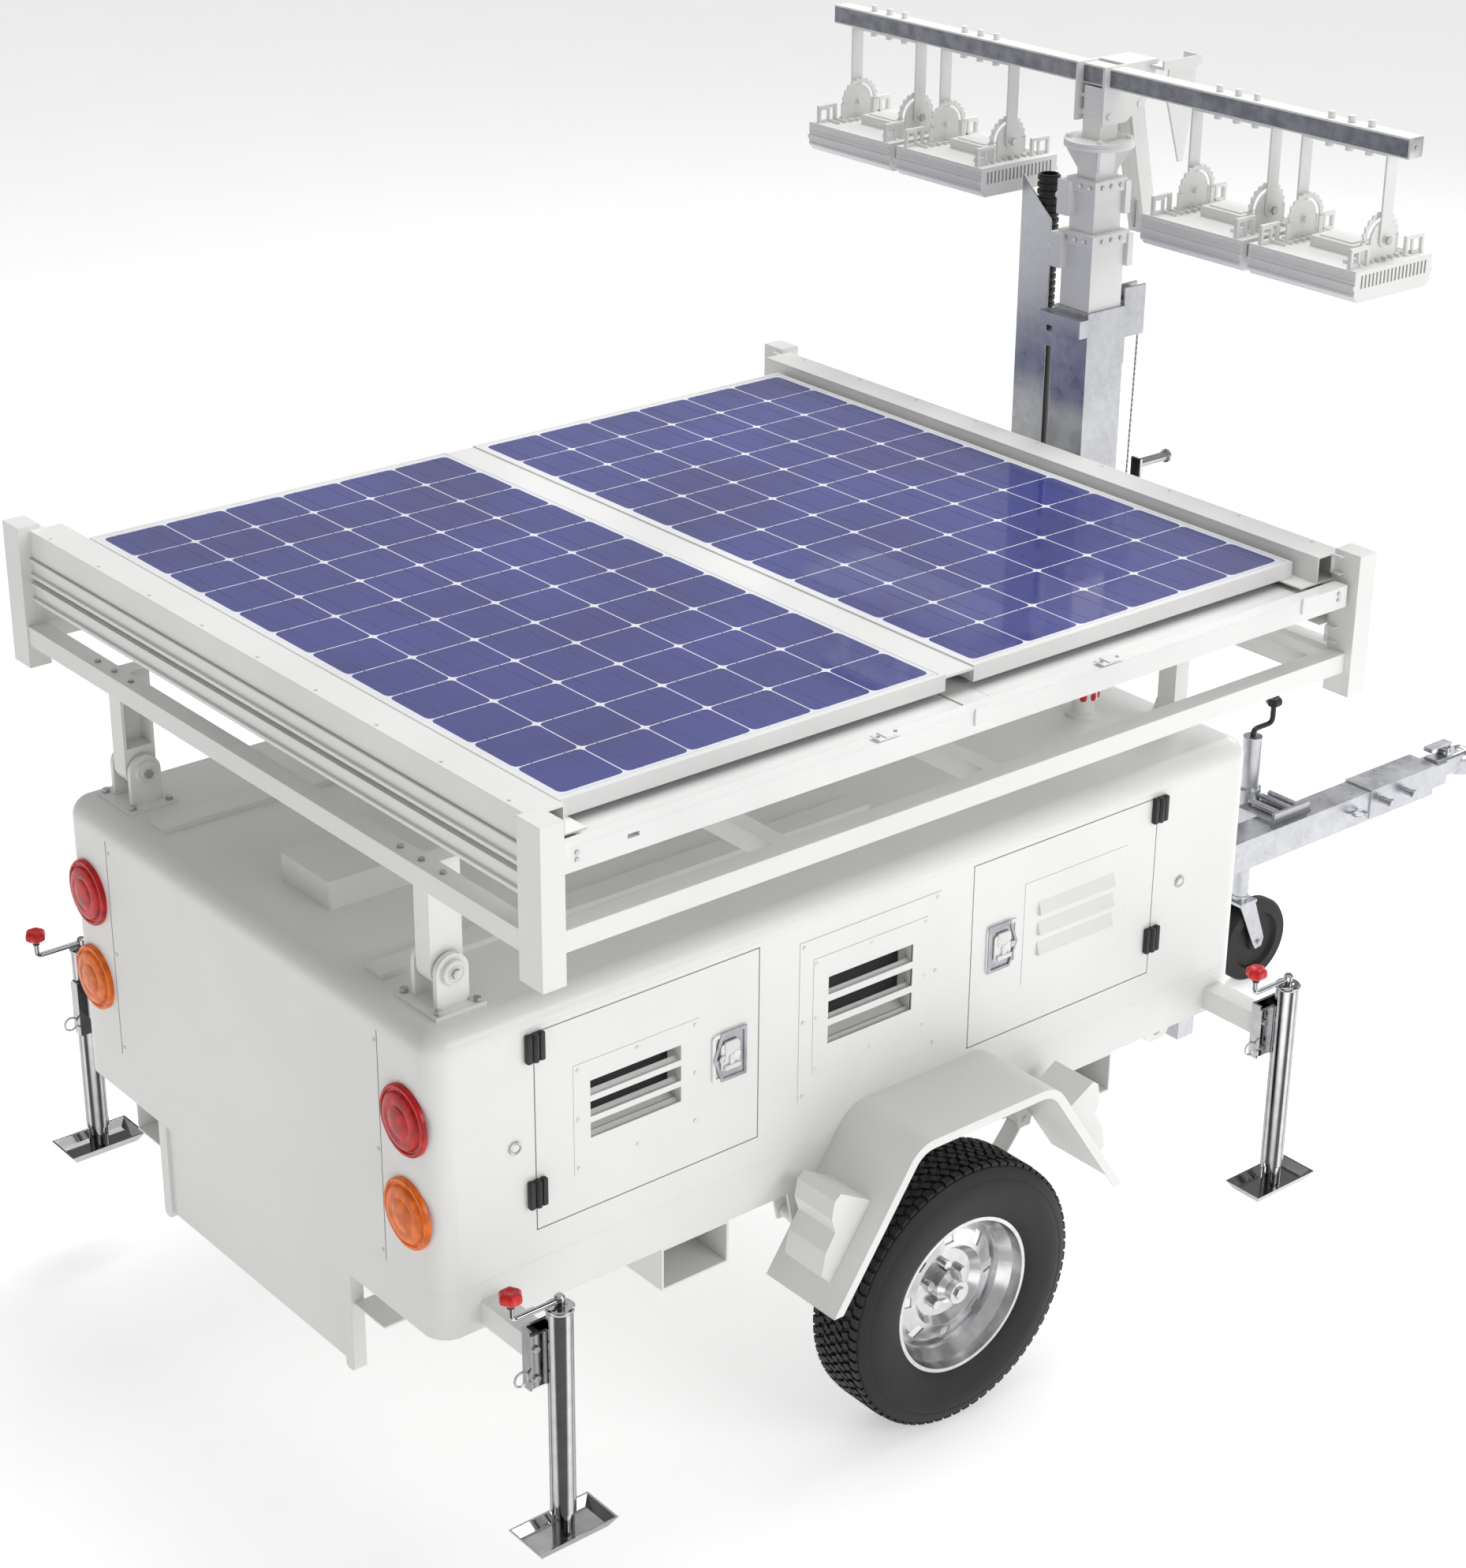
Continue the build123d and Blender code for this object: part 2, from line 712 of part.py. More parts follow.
def drawbar_extension():
    """Inner bar, ball coupler head and its neck."""
    half = inner_bar / 2
    mid = drawbar_bottom + drawbar_size / 2
    bar = block(sleeve_rear - 600, coupler_tip - 150, -half, half, mid - half, mid + half)
    neck = block(coupler_tip - 190, coupler_tip - 40, -30, 30, mid - 22, mid + 46)
    bar += fillet(neck.edges().filter_by(Axis.X), 10)
    ball_x = coupler_tip - 44
    head = Pos(ball_x, 0, mid + 8) * Sphere(44)
    head += rod_z(ball_x, 0, mid - 32, mid + 8, 44)
    hitch = bar + head
    hitch -= Pos(ball_x, 0, mid - 2) * Sphere(ball_socket_radius)
    hitch -= rod_z(ball_x, 0, mid - 60, mid - 2, ball_socket_radius)
    hitch -= rod_y(coupler_tip - 120, -40, 40, mid + 62, 5 + pin_clearance)
    return hitch + coupler_ears(mid)


def coupler_ears(mid):
    x = coupler_tip - 120
    ears = block(x - 16, x + 16, -22, -16, mid + 40, mid + 74)
    ears += block(x - 16, x + 16, 16, 22, mid + 40, mid + 74)
    return ears - rod_y(x, -40, 40, mid + 62, 5 + pin_clearance)


def coupler_lever():
    x = coupler_tip - 120
    mid = drawbar_bottom + drawbar_size / 2
    lever = rod_y(x, -15.5, 15.5, mid + 62, 10)
    lever += rod_y(x, -24, 24, mid + 62, 5)
    lever += block(x - 6, x + 6, -15, 15, mid + 62, mid + 88)
    lever += block(x - 88, x + 8, -17, 17, mid + 84, mid + 90)
    return lever + block(x - 92, x - 86, -17, 17, mid + 76, mid + 90)


def jockey_tube():
    """Clamped outer tube of the jockey wheel with its clamp on the drawbar."""
    bore = jockey_radius - 4
    tube = rod_z(jockey_x, jockey_y, 420, 862, jockey_radius)
    tube -= rod_z(jockey_x, jockey_y, 419, 855, bore)
    collar = rod_z(jockey_x, jockey_y, 600, 690, jockey_radius + 9)
    collar += block(jockey_x - 58, jockey_x + 58, drawbar_size / 2, jockey_y - 20, 552, 640)
    collar += block(jockey_x - 75, jockey_x + 95, -28, jockey_y - 24,
                    drawbar_bottom + drawbar_size, drawbar_bottom + drawbar_size + 9)
    collar -= rod_z(jockey_x, jockey_y, 500, 700, jockey_radius)
    collar += block(jockey_x - 70, jockey_x + 92, -24, -12, 652, 676)
    tube += collar
    for x in (jockey_x - 30, jockey_x + 25, jockey_x + 60):
        tube += rod_y(x, -14, jockey_y - 34, 664, 9)
    return tube - rod_z(jockey_x, jockey_y, 850, 870, 9 + pin_clearance)


def jockey_leg():
    """Inner tube that slides in the clamped tube."""
    leg = rod_z(jockey_x, jockey_y, 318, 745, jockey_radius - 4.1)
    leg -= rod_z(jockey_x, jockey_y, 360, 750, 12)
    return leg - rod_z(jockey_x, jockey_y, 317, 345, 10 + pin_clearance)


def jockey_fork():
    """Trailing fork turning on a pin in the end of the inner tube."""
    hub_x = jockey_x + jockey_trail
    fork = block(jockey_x - 36, jockey_x + 40, jockey_y - 40, jockey_y + 40, 292, 302)
    fork += rod_z(jockey_x, jockey_y, 300, 317.7, 28)
    fork += rod_z(jockey_x, jockey_y, 300, 340, 10)
    for side in (-1, 1):
        y0 = jockey_y + side * 32
        y1 = jockey_y + side * 37
        cheek = plate_xz([(jockey_x - 34, 297), (jockey_x + 34, 297), (hub_x + 24, 150),
                          (hub_x + 16, 122), (hub_x - 12, 118), (hub_x - 26, 140)],
                         min(y0, y1), max(y0, y1))
        fork += cheek
    pin = rod_y(hub_x, jockey_y - 44, jockey_y + 44, jockey_wheel_radius, 8)
    return fork + pin


def jockey_wheel():
    hub_x = jockey_x + jockey_trail
    half = jockey_wheel_width / 2
    outline = [(8 + pin_clearance, -half), (30, -half), (34, -half + 12), (88, -half + 12),
               (96, -half), (jockey_wheel_radius - 8, -half + 2), (jockey_wheel_radius, -14),
               (jockey_wheel_radius, 14), (jockey_wheel_radius - 8, half - 2), (96, half),
               (88, half - 12), (34, half - 12), (30, half), (8 + pin_clearance, half)]
    face = make_face(Polyline(*outline, close=True))
    return Pos(hub_x, jockey_y, jockey_wheel_radius) * revolve(face, Axis.Y, 360)


def jockey_crank():
    crank = rod_z(jockey_x, jockey_y, 475, 884, 9)
    crank += rod_x(jockey_x - 8, jockey_x + 92, jockey_y, 884, 8)
    crank += rod_z(jockey_x + 86, jockey_y, 880, 945, 8)
    knob = Pos(jockey_x + 86, jockey_y, 955) * Cylinder(25, 28)
    return crank + fillet(knob.edges(), 9)


# ------------------------------------------------------------------ corner jacks

def jack_tube(x, side):
    """Outer tube with the swing bracket that turns on the chassis stub."""
    y = side * jack_y
    tube = rod_z(x, y, jack_tube_bottom, jack_top, jack_tube_radius)
    tube -= rod_z(x, y, jack_tube_bottom - 1, jack_top - 6, jack_leg_radius + 0.5)
    lock_y = jack_y - jack_tube_radius - 24
    near = side * (lock_y - 11)
    far = side * (lock_y + 17)
    plate = block(x - 56, x + 44, near, near + side * 7, 690, 846)
    cheek = block(x - 56, x - 50, near, far, 690, 846)
    cheek += block(x + 38, x + 44, near, far, 690, 846)
    web = block(x - 56, x + 44, far, far + side * 7, 700, 836)
    bracket = plate + cheek + web
    bracket += block(x - 20, x + 20, far, side * (jack_y - 20), 700, 836)
    bracket -= rod_z(x, y, 600, 900, jack_tube_radius - 2)
    tube += bracket
    bore = rod_y(x, side * (lock_y - 40), side * (lock_y + 16.5), jack_pivot_z,
                 stub_radius + pin_clearance)
    return tube - bore - rod_z(x, y, jack_top - 10, jack_top + 5, 9 + pin_clearance)


def jack_leg(x, side):
    y = side * jack_y
    leg = rod_z(x, y, jack_foot_z + 5, 840, jack_leg_radius)
    leg -= rod_z(x, y, jack_foot_z + 20, 845, 12)
    half_x = jack_foot_length / 2
    half_y = jack_foot_width / 2
    low = jack_foot_z
    foot = loft(Sketch() + [Pos(x, y, low) * Rectangle(2 * half_x - 36, 2 * half_y - 30),
                            Pos(x, y, low + 26) * Rectangle(2 * half_x, 2 * half_y)])
    dish = loft(Sketch() + [Pos(x, y, low + 5) * Rectangle(2 * half_x - 42, 2 * half_y - 36),
                            Pos(x, y, low + 26.01) * Rectangle(2 * half_x - 10, 2 * half_y - 10)])
    return leg + (foot - dish)


def jack_crank(x, side, toward):
    """Screw spindle, bent handle and knob."""
    y = side * jack_y
    crank = rod_z(x, y, jack_foot_z + 40, jack_top + 24, 9)
    crank += rod_z(x, y, jack_top + 0.3, jack_top + 12, 18)
    crank += rod_x(x, x + toward * 134, y, jack_top + 20, 7)
    end = x + toward * 128
    crank += rod_z(end, y, jack_top + 16, jack_top + 62, 7)
    knob = Pos(end, y, jack_top + 74) * Cylinder(27, 28)
    return crank + fillet(knob.edges(), 9)


# ------------------------------------------------------------------ solar deck

def deck_post(x, side):
    y0 = side * (deck_half_width - post_y)
    y1 = side * deck_half_width
    post = block(x, x + post_x, y0, y1, post_bottom, post_top)
    inset = side * tube_wall
    return post - block(x + tube_wall, x + post_x - tube_wall, y0 + inset, y1 - inset,
                        post_bottom - 1, post_top - tube_wall)


def hollow(x0, x1, y0, y1, z0, z1, axis):
    """Thin square tube of the deck."""
    return tube_block(x0, x1, min(y0, y1), max(y0, y1), z0, z1, tube_wall, axis)


def deck_cross_positions():
    return (module_rear + 500, module_rear + module_pitch - 30, rest_x - 25)


def pivot_arm(side):
    """Arm hanging from the rear of the deck down to the hinge."""
    y = side * pivot_y
    arm = block(pivot_x - 42, pivot_x + 42, y - 28, y + 28, pivot_z, base_tube_bottom)
    arm += rod_y(pivot_x, y - 28, y + 28, pivot_z, 42)
    arm += block(pivot_x - 10, pivot_x + 42, y - 28, y + 28, base_tube_bottom - 1,
                 base_tube_bottom + base_tube)
    arm -= block(pivot_x - 34, pivot_x + 34, y - side * 29, y + side * 20,
                 pivot_z + 60, base_tube_bottom - 30)
    return arm - rod_y(pivot_x, y - 60, y + 60, pivot_z, pivot_pin_radius + pin_clearance)


def slide_channel(face, toward, low):
    """Section along Y, open toward the trays, with ribs on its outer face."""
    high = low + tray_height + 10
    y = deck_half_width - post_y
    back = face - toward * rail_recess
    channel = block(back, face + toward * 32, -y, y, low - 2, high)
    channel -= block(back + toward * 3, face + toward * 33, -y - 1, y + 1, low + 1, high - 3)
    for z in (low - 2, high - 9):
        channel += block(back - toward * 7, back, -y, y, z, z + 9)
    return channel


def top_rail(face, toward):
    """Deep rail over the slides, with a ledge that the upper modules lie on."""
    y = deck_half_width - post_y
    back = face - toward * rail_recess
    seat = module_top - module_height
    rail = block(back, back + toward * 4, -y, y, seat - 3, module_top + 26)
    rail += block(back, face + toward * 60, -y, y, module_top + 22, module_top + 26)
    rail += block(face + toward * 56, face + toward * 60, -y, y, seat - 3, module_top + 26)
    rail += block(back, face + toward * 115, -y, y, seat - 4, seat - 0.3)
    return rail


def end_bracket(face, toward, side, z0, z1):
    """Short channel that ties a cross member to its post."""
    y0 = side * (deck_half_width - post_y)
    bracket = block(face - toward * 40, face + toward * 14, y0, y0 + side * 30, z0, z1)
    return bracket - block(face - toward * 3, face + toward * 15, y0 + side * 4, y0 + side * 31,
                           z0 + 4, z1 - 4)


def deck_base():
    """Ladder of square tubes under the trays, with the two arms it tilts on."""
    low = base_tube_bottom
    high = low + base_tube
    inner = deck_half_width - post_y
    rail_outer = deck_half_width - 20
    rail_inner = rail_outer - base_tube
    base = pivot_arm(-1) + pivot_arm(1)
    for x in (deck_rear + 5, deck_front - 5 - base_tube):
        base += hollow(x, x + base_tube, -inner, inner, low, high, "y")
    for side in (-1, 1):
        base += hollow(deck_rear + post_x, deck_front - post_x, side * rail_inner,
                       side * rail_outer, low, high, "x")
    for x in deck_cross_positions():
        base += hollow(x, x + base_tube, -rail_inner, rail_inner, low, high, "y")
    return base


def deck_frame():
    """Corner posts, top rails and tray channels of the two ends."""
    inner = deck_half_width - post_y
    rear_face = deck_rear + post_x
    front_face = deck_front - post_x
    frame = None
    for x in (deck_rear, deck_front - post_x):
        for side in (-1, 1):
            post = deck_post(x, side)
            frame = post if frame is None else frame + post
    for face, toward in ((rear_face, 1), (front_face, -1)):
        frame += top_rail(face, toward)
        for level in (lower_tray_bottom, upper_tray_bottom):
            frame += slide_channel(face, toward, level)
        for side in (-1, 1):
            y = side * (inner - 0.5)
            frame += block(face - toward * 24, face - toward * 4, y, y - side * 8,
                           lower_tray_bottom - 30, module_top + 22)
            frame += end_bracket(face, toward, side, lower_tray_bottom - 46,
                                 lower_tray_bottom - 4)
            frame += end_bracket(face, toward, side, module_top - 22, module_top + 26)
    return frame


def module(x, y_mid, top):
    """Solar module: aluminium frame with the glass laminate in it."""
    half = module_length / 2
    low = top - module_height
    frame = block(x, x + module_width, y_mid - half, y_mid + half, low, top)
    frame -= block(x + 11, x + module_width - 11, y_mid - half + 11, y_mid + half - 11,
                   low - 1, top + 1)
    frame += block(x + 2, x + module_width - 2, y_mid - half + 2, y_mid + half - 2,
                   top - 8, top - 1.5)
    return frame


def upper_modules():
    out = []
    for i in range(2):
        out.append(module(module_rear + i * module_pitch, 0, module_top))
    x0 = module_rear + module_width
    x1 = module_rear + module_pitch
    strip = block(x0, x1, -module_length / 2, module_length / 2, module_top - 10, module_top - 4)
    for y in (-760, -380, 380, 760):
        strip += block(x0, x1, y - 20, y + 20, module_top - module_height, module_top - 9)
    out.append(strip)
    return out


def tray(side, low):
    """Pull-out tray carrying two modules; the face rail is on its own side."""
    rear_face = deck_rear + post_x
    front_face = deck_front - post_x
    face = side * tray_face
    far = face - side * tray_length
    x0 = rear_face + 3.5
    x1 = front_face - 3.5
    z0 = low + 1 + slide_play
    z1 = z0 + tray_height
    tray_y0 = side * (deck_half_width - post_y - 3)
    frame = block(x0, x0 + runner_width, tray_y0, far, z0, z1)
    frame += block(x1 - runner_width, x1, tray_y0, far, z0, z1)
    frame += block(x0 + 10, x1 - 10, face, face - side * tray_face_rail, low - 2, low + 54)
    frame -= block(x0 + 10 + 160, x0 + 10 + 190, face + side, face - side * 45, low + 30, low + 40)
    frame += block(x0, x1, far, far + side * tray_end_rail, z0, z1)
    frame += block(x0 + 10, x0 + runner_width, tray_y0 - side, face, z0, z1)
    frame += block(x1 - runner_width, x1 - 10, tray_y0 - side, face, z0, z1)
    mid_x = module_rear + module_width
    frame += block(mid_x + 4, mid_x + module_pitch - module_width - 4, face - side * tray_face_rail,
                   far + side * tray_end_rail, z0, z1)
    for x in (mid_x - 30, mid_x + module_pitch - module_width + 960):
        frame += block(x, x + 56, face, face + side * 6, low + 20, low + 60)
    frame += block(x0 + runner_width, module_rear + 8, face - side * tray_face_rail, far + side * 20, z0, z0 + 4)
    frame += block(module_rear + module_pitch + module_width - 8, x1 - runner_width,
                   face - side * tray_face_rail, far + side * 20, z0, z0 + 4)
    return frame


def tray_modules(side, low):
    scale = (tray_length - tray_face_rail - tray_end_rail) / 2 - module_play
    mid = side * (tray_face - tray_face_rail - module_play - scale)
    out = []
    for i in range(2):
        x = module_rear + i * module_pitch
        z = low + 7.5
        lam = block(x, x + module_width, mid - scale, mid + scale, z, z + 28)
        lam -= block(x + 10, x + module_width - 10, mid - scale + 10, mid + scale - 10,
                     z - 1, z + 22)
        out.append(lam)
    return out


# ------------------------------------------------------------------ roof fittings

def pivot_base(side):
    """Base plate with two upright lugs and the hinge pin."""
    y = side * pivot_y
    top = roof_top
    base = block(pivot_x - 66, pivot_x + 66, y - 80, y + 80, top, top + 9)
    for lug_y in (y - 42, y + 42):
        lug = block(pivot_x - 42, pivot_x + 42, lug_y - 7, lug_y + 7, top, pivot_z)
        lug += rod_y(pivot_x, lug_y - 7, lug_y + 7, pivot_z, 42)
        base += lug
    base += rod_y(pivot_x, y - 58, y + 58, pivot_z, pivot_pin_radius)
    base += rod_y(pivot_x, y - 58, y - 48, pivot_z, 29)
    base += rod_y(pivot_x, y + 48, y + 58, pivot_z, 29)
    for dx in (-50, 50):
        for dy in (-66, 66):
            base += Pos(pivot_x + dx, y + dy, top + 9) * extrude(RegularPolygon(9, 6), 8)
    return base


def rest_post(side):
    y = side * rest_y
    top = base_tube_bottom - 1.3
    post = block(rest_x - 50, rest_x + 36, y - 50, y + 50, roof_top, roof_top + 8)
    post += tube_block(rest_x - 24, rest_x + 24, y - 30, y + 30, roof_top, top - 6, 5, "z")
    post += block(rest_x - 28, rest_x + 28, y - 34, y + 34, top - 6, top)
    for dy in (-34, 28):
        post += plate_xz([(rest_x - 48, roof_top + 7), (rest_x - 22, roof_top + 7),
                          (rest_x - 22, roof_top + 70)], y + dy, y + dy + 6)
    return post


def roof_stud():
    x, y = 2325.0, -414.0
    neck = rod_z(x, y, roof_top, roof_top + 12, 42) + rod_z(x, y, roof_top + 12, roof_top + 46, 30)
    cap = rod_z(x, y, roof_top + 46, roof_top + 80, 38)
    cap = fillet(cap.edges().group_by(Axis.Z)[-1], 8)
    return neck, cap


def roof_battens():
    """Two flat stiffening channels lying on the roof under the deck."""
    return [block(80, 1500, y - 35, y + 35, roof_top, roof_top + 14) for y in (-470, 470)]


def junction_box():
    return fillet(block(170, 400, -150, 60, roof_top, roof_top + 72).edges().filter_by(Axis.Z), 10)


# ------------------------------------------------------------------ mast

def section_half(stage):
    """Half sizes of a mast section, 0 for the outer box."""
    return (mast_length_x / 2 - stage * stage_step / 2,
            mast_length_y / 2 - stage * stage_step / 2)


def section(stage, z0, z1, wall):
    hx, hy = section_half(stage)
    return tube_block(mast_x - hx, mast_x + hx, -hy, hy, z0, z1, wall, "z")


def mast_outer():
    """Outer box with base plate, ties to the chassis, top collar and pulley cheeks."""
    foot = drawbar_bottom + drawbar_size
    hx, hy = section_half(0)
    mast = section(0, foot, mast_top, mast_wall)
    mast += block(mast_x - hx - 30, mast_x + hx + 30, -hy - 30, hy + 30, foot, foot + 12) - \
        block(mast_x - hx + mast_wall, mast_x + hx - mast_wall, -hy + mast_wall,
              hy - mast_wall, foot - 1, foot + 13)
    next_hx, next_hy = section_half(1)
    pad = block(mast_x - hx + 1, mast_x + hx - 1, -hy + 1, hy - 1, mast_top - 60, mast_top)
    pad -= block(mast_x - next_hx - stage_play, mast_x + next_hx + stage_play,
                 -next_hy - stage_play, next_hy + stage_play, mast_top - 61, mast_top + 1)
    mast += pad
    for z in (chassis_bottom + 30, roof_seam - 120):
        mast += block(body_length, mast_x - hx, -50, 50, z, z + 60)
    for side in (-1, 1):
        mast += plate_yz([(side * hy, foot + 12), (side * (hy + 28), foot + 12),
                          (side * hy, foot + 120)], mast_x - 5, mast_x + 5)
    mast += block(mast_x + hx, mast_x + hx + 8, -60, 60, mast_top - 160, mast_top + 10)
    for y in (-60, -28):
        cheek = block(mast_x + hx, mast_x + hx + 78, y, y + 6, mast_top - 90, mast_top + 46)
        mast += cheek
    mast += rod_y(mast_x + hx + 50, -54, -28, mast_top + 10, 26)
    bracket = block(mast_x - hx - 34, mast_x - hx, -hy - 4, hy + 20, mast_top - 20, mast_top - 14)
    bracket += block(mast_x - hx - 4, mast_x - hx, -hy - 4, hy + 20, mast_top - 60, mast_top - 14)
    bracket += block(mast_x - hx - 34, mast_x - hx, -hy - 4, -hy + 2, mast_top - 62, mast_top - 14)
    return mast + bracket


def cable_guard():
    """Folded sheet beside the mast with a slanting top."""
    x = 2668.0
    near, far = 130.0, 244.0
    low = 760.0
    back = plate_yz([(near, low), (far, low), (far, 2745.0), (near, 2640.0)], x, x + 3)
    back += block(x, x + 66, far - 3, far, low, 2640)
    for z in (900.0, 1600.0, 2300.0):
        back += block(x, x + 60, mast_length_y / 2, near + 2, z, z + 40)
    back += block(x + 3, x + 60, near, near + 3, 900, 940)
    return back


def mast_conduit():
    """Corrugated cable conduit standing in the guard."""
    x, y = 2702.3, 180.0
    low, high = 2330.0, 2752.0
    pipe = rod_z(x, y, low, high, 26)
    count = 22
    pitch = (high - low) / count
    for i in range(count):
        z = low + pitch * (i + 0.25)
        pipe += rod_z(x, y, z, z + pitch * 0.5, 31)
    pipe -= rod_z(x, y, low - 1, high + 1, 22)
    tube = rod_z(x, y, 800, low, 30) - rod_z(x, y, 799, low + 1, 25)
    return pipe + tube


def mast_winch():
    hx = mast_length_x / 2
    x = mast_x + hx
    z = 1780.0
    frame = block(x, x + 6, -90, 70, z - 110, z + 110)
    frame += block(x, x + 110, -90, -84, z - 80, z + 80)
    frame += block(x, x + 110, 50, 56, z - 80, z + 80)
    frame += block(x + 104, x + 110, -90, 56, z - 80, z + 80)
    drum = rod_x(x + 6, x + 104, -17, z, 30)
    drum += rod_x(x + 14, x + 18, -17, z, 58)
    drum += rod_x(x + 90, x + 94, -17, z, 58)
    winch = frame + drum
    bore = rod_x(x + 60, x + 111, -17, z, 11 + pin_clearance)
    return winch - bore


def winch_crank():
    x = mast_x + mast_length_x / 2
    z = 1780.0
    crank = rod_x(x + 62, x + 150, -17, z, 11)
    crank += block(x + 128, x + 136, -35, 1, z - 22, z + 190)
    crank += rod_x(x + 132, x + 250, -17, z + 172, 13)
    crank += rod_x(x + 244, x + 252, -17, z + 172, 19)
    return crank


def mast_rope():
    """Steel rope from the winch drum up to the mast-top pulley."""
    x = mast_x + mast_length_x / 2
    top = (x + 50 + 26 + 3.3, -41, mast_top + 10)
    low = (x + 54, -17 - 30 - 3.4, 1780)
    line = Line(low, top)
    circle = Plane(origin=low, z_dir=(top[0] - low[0], top[1] - low[1], top[2] - low[2])) * Circle(3)
    return sweep(circle, line)


def stage_section(stage):
    """Moving mast section with its top collar and side brackets."""
    hx, hy = section_half(stage)
    top = stage_tops[stage - 1]
    low = drawbar_bottom + drawbar_size + 14 + 6 * stage
    body = section(stage, low, top, stage_wall)
    return body, hx, hy, top


def mast_stage(stage):
    body, hx, hy, top = stage_section(stage)
    next_hx, next_hy = section_half(stage + 1)
    bore = block(mast_x - next_hx - stage_play, mast_x + next_hx + stage_play,
                 -next_hy - stage_play, next_hy + stage_play, top - 40, top + 1)
    if stage < 3:
        collar = block(mast_x - hx - 9, mast_x + hx + 9, -hy - 9, hy + 9, top - 34, top)
        body += collar - bore
        body += block(mast_x - hx - 26, mast_x - hx, hy - 18, hy + 24, top - 100, top - 8)
        body += block(mast_x + hx, mast_x + hx + 20, -hy - 14, -hy + 22, top - 96, top - 10)
        body += rod_y(mast_x - hx - 14, hy + 24, hy + 34, top - 54, 9)
    else:
        body += rod_z(mast_x, 0, top, top + flange_thick, flange_radius)
        for a in (45, 135, 225, 315):
            rib = plate_xz([(0, -78), (0, 1), (82, 1), (82, -12), (hx + 2, -78)], -4, 4)
            body += Pos(mast_x, 0, top) * Rot(0, 0, a) * rib
        body -= block(mast_x - hx + stage_wall, mast_x + hx - stage_wall, -hy + stage_wall,
                      hy - stage_wall, top - 90, top)
    return body


# ------------------------------------------------------------------ lamp head

def lamp_head():
    """Turning flange, head post, saddle, lamp bar, diagonal arms and catch plate."""
    low = stage_tops[2] + flange_thick + 0.3
    head = rod_z(mast_x, 0, low, low + flange_thick, flange_radius)
    for i in range(4):
        a = radians(45 + 90 * i)
        head += Pos(mast_x + 78 * cos(a), 78 * sin(a), low + flange_thick) * \
            extrude(RegularPolygon(9, 6), 9)
    half = 32.0
    head += tube_block(mast_x - half, mast_x + half, -half, half, low + flange_thick,
                       bar_z - bar_size / 2 - 4, 5, "z")
    bar_low = bar_z - bar_size / 2
    for y in (-52, 44):
        cheek = plate_xz([(mast_x - 46, bar_z - 120), (mast_x + 40, bar_z - 120),
                          (mast_x + 120, bar_z - 66), (mast_x + 150, bar_z + 30),
                          (mast_x - 46, bar_z + 30)], y, y + 8)
        cheek -= block(mast_x - bar_size / 2, mast_x + bar_size / 2, y - 1, y + 9,
                       bar_low, bar_z + bar_size / 2)
        head += cheek
    head += block(mast_x - half, mast_x + half, -52, 52, bar_low - 34, bar_low - 26)
    head += rod_y(mast_x - 24, -58, 58, bar_z - 98, 9)
    head += block(mast_x + 34, mast_x + 150, -52, 52, bar_z + 24, bar_z + 30)
    bar = tube_block(mast_x - bar_size / 2, mast_x + bar_size / 2, -bar_half, bar_half,
                     bar_low, bar_z + bar_size / 2, 4, "y")
    head += bar
    for lamp_y in lamp_centres:
        for y in yoke_bolt_places(lamp_y):
            head += rod_z(mast_x, y, bar_z + bar_size / 2, bar_z + bar_size / 2 + 16, 9)
    for y in (-30, 18):
        arm = plate_xz([(mast_x + 74, bar_z - 70), (mast_x + 124, bar_z - 70),
                        (mast_x + 210, bar_z - 440), (mast_x + 164, bar_z - 440)], y, y + 12)
        head += arm
    head += rod_y(mast_x + 90, -56, 56, bar_z - 78, 12)
    head += rod_z(mast_x + 184, 0, bar_z - 440, bar_z - 356, 20)
    head += block(mast_x + 166, mast_x + 202, -19, 19, bar_z - 440, bar_z - 430)
    fin = plate_xz([(mast_x + 150, bar_z + 10), (mast_x + 250, bar_z + 10),
                    (mast_x + 250, bar_z - 60), (mast_x + 222, bar_z - 240),
                    (mast_x + 206, bar_z - 240), (mast_x + 146, bar_z - 60)], -92, -86)
    head += fin
    head += block(mast_x + 120, mast_x + 262, -100, -40, bar_z + 10, bar_z + 18)
    head += block(mast_x + 120, mast_x + 262, -100, -94, bar_z + 18, bar_z + 34)
    head += block(mast_x + 256, mast_x + 262, -100, -40, bar_z + 18, bar_z + 34)
    return head


def lamp_yokes():
    """U brackets hanging from the bar with their three nuts each."""
    out = []
    top = bar_z - bar_size / 2 - 0.3
    for y in lamp_centres:
        yoke = block(mast_x - yoke_width / 2, mast_x + yoke_width / 2, y - yoke_half,
                     y + yoke_half, top - yoke_sheet, top)
        for sign in (-1, 1):
            edge = y + sign * yoke_half
            yoke += block(mast_x - yoke_width / 2, mast_x + yoke_width / 2, edge,
                          edge - sign * yoke_sheet, lamp_pivot_z - 2, top)
            yoke += rod_y(mast_x, edge, edge - sign * yoke_sheet, lamp_pivot_z, yoke_width / 2)
            yoke += rod_y(mast_x, edge + sign * 8, edge - sign * 24, lamp_pivot_z, 8)
        for bolt_y in yoke_bolt_places(y):
            yoke += rod_z(mast_x, bolt_y, top - yoke_sheet - 12, top - yoke_sheet, 10)
        out.append(yoke)
    return out


def yoke_bolt_places(y):
    return [y - yoke_bolt_pitch, y, y + yoke_bolt_pitch]


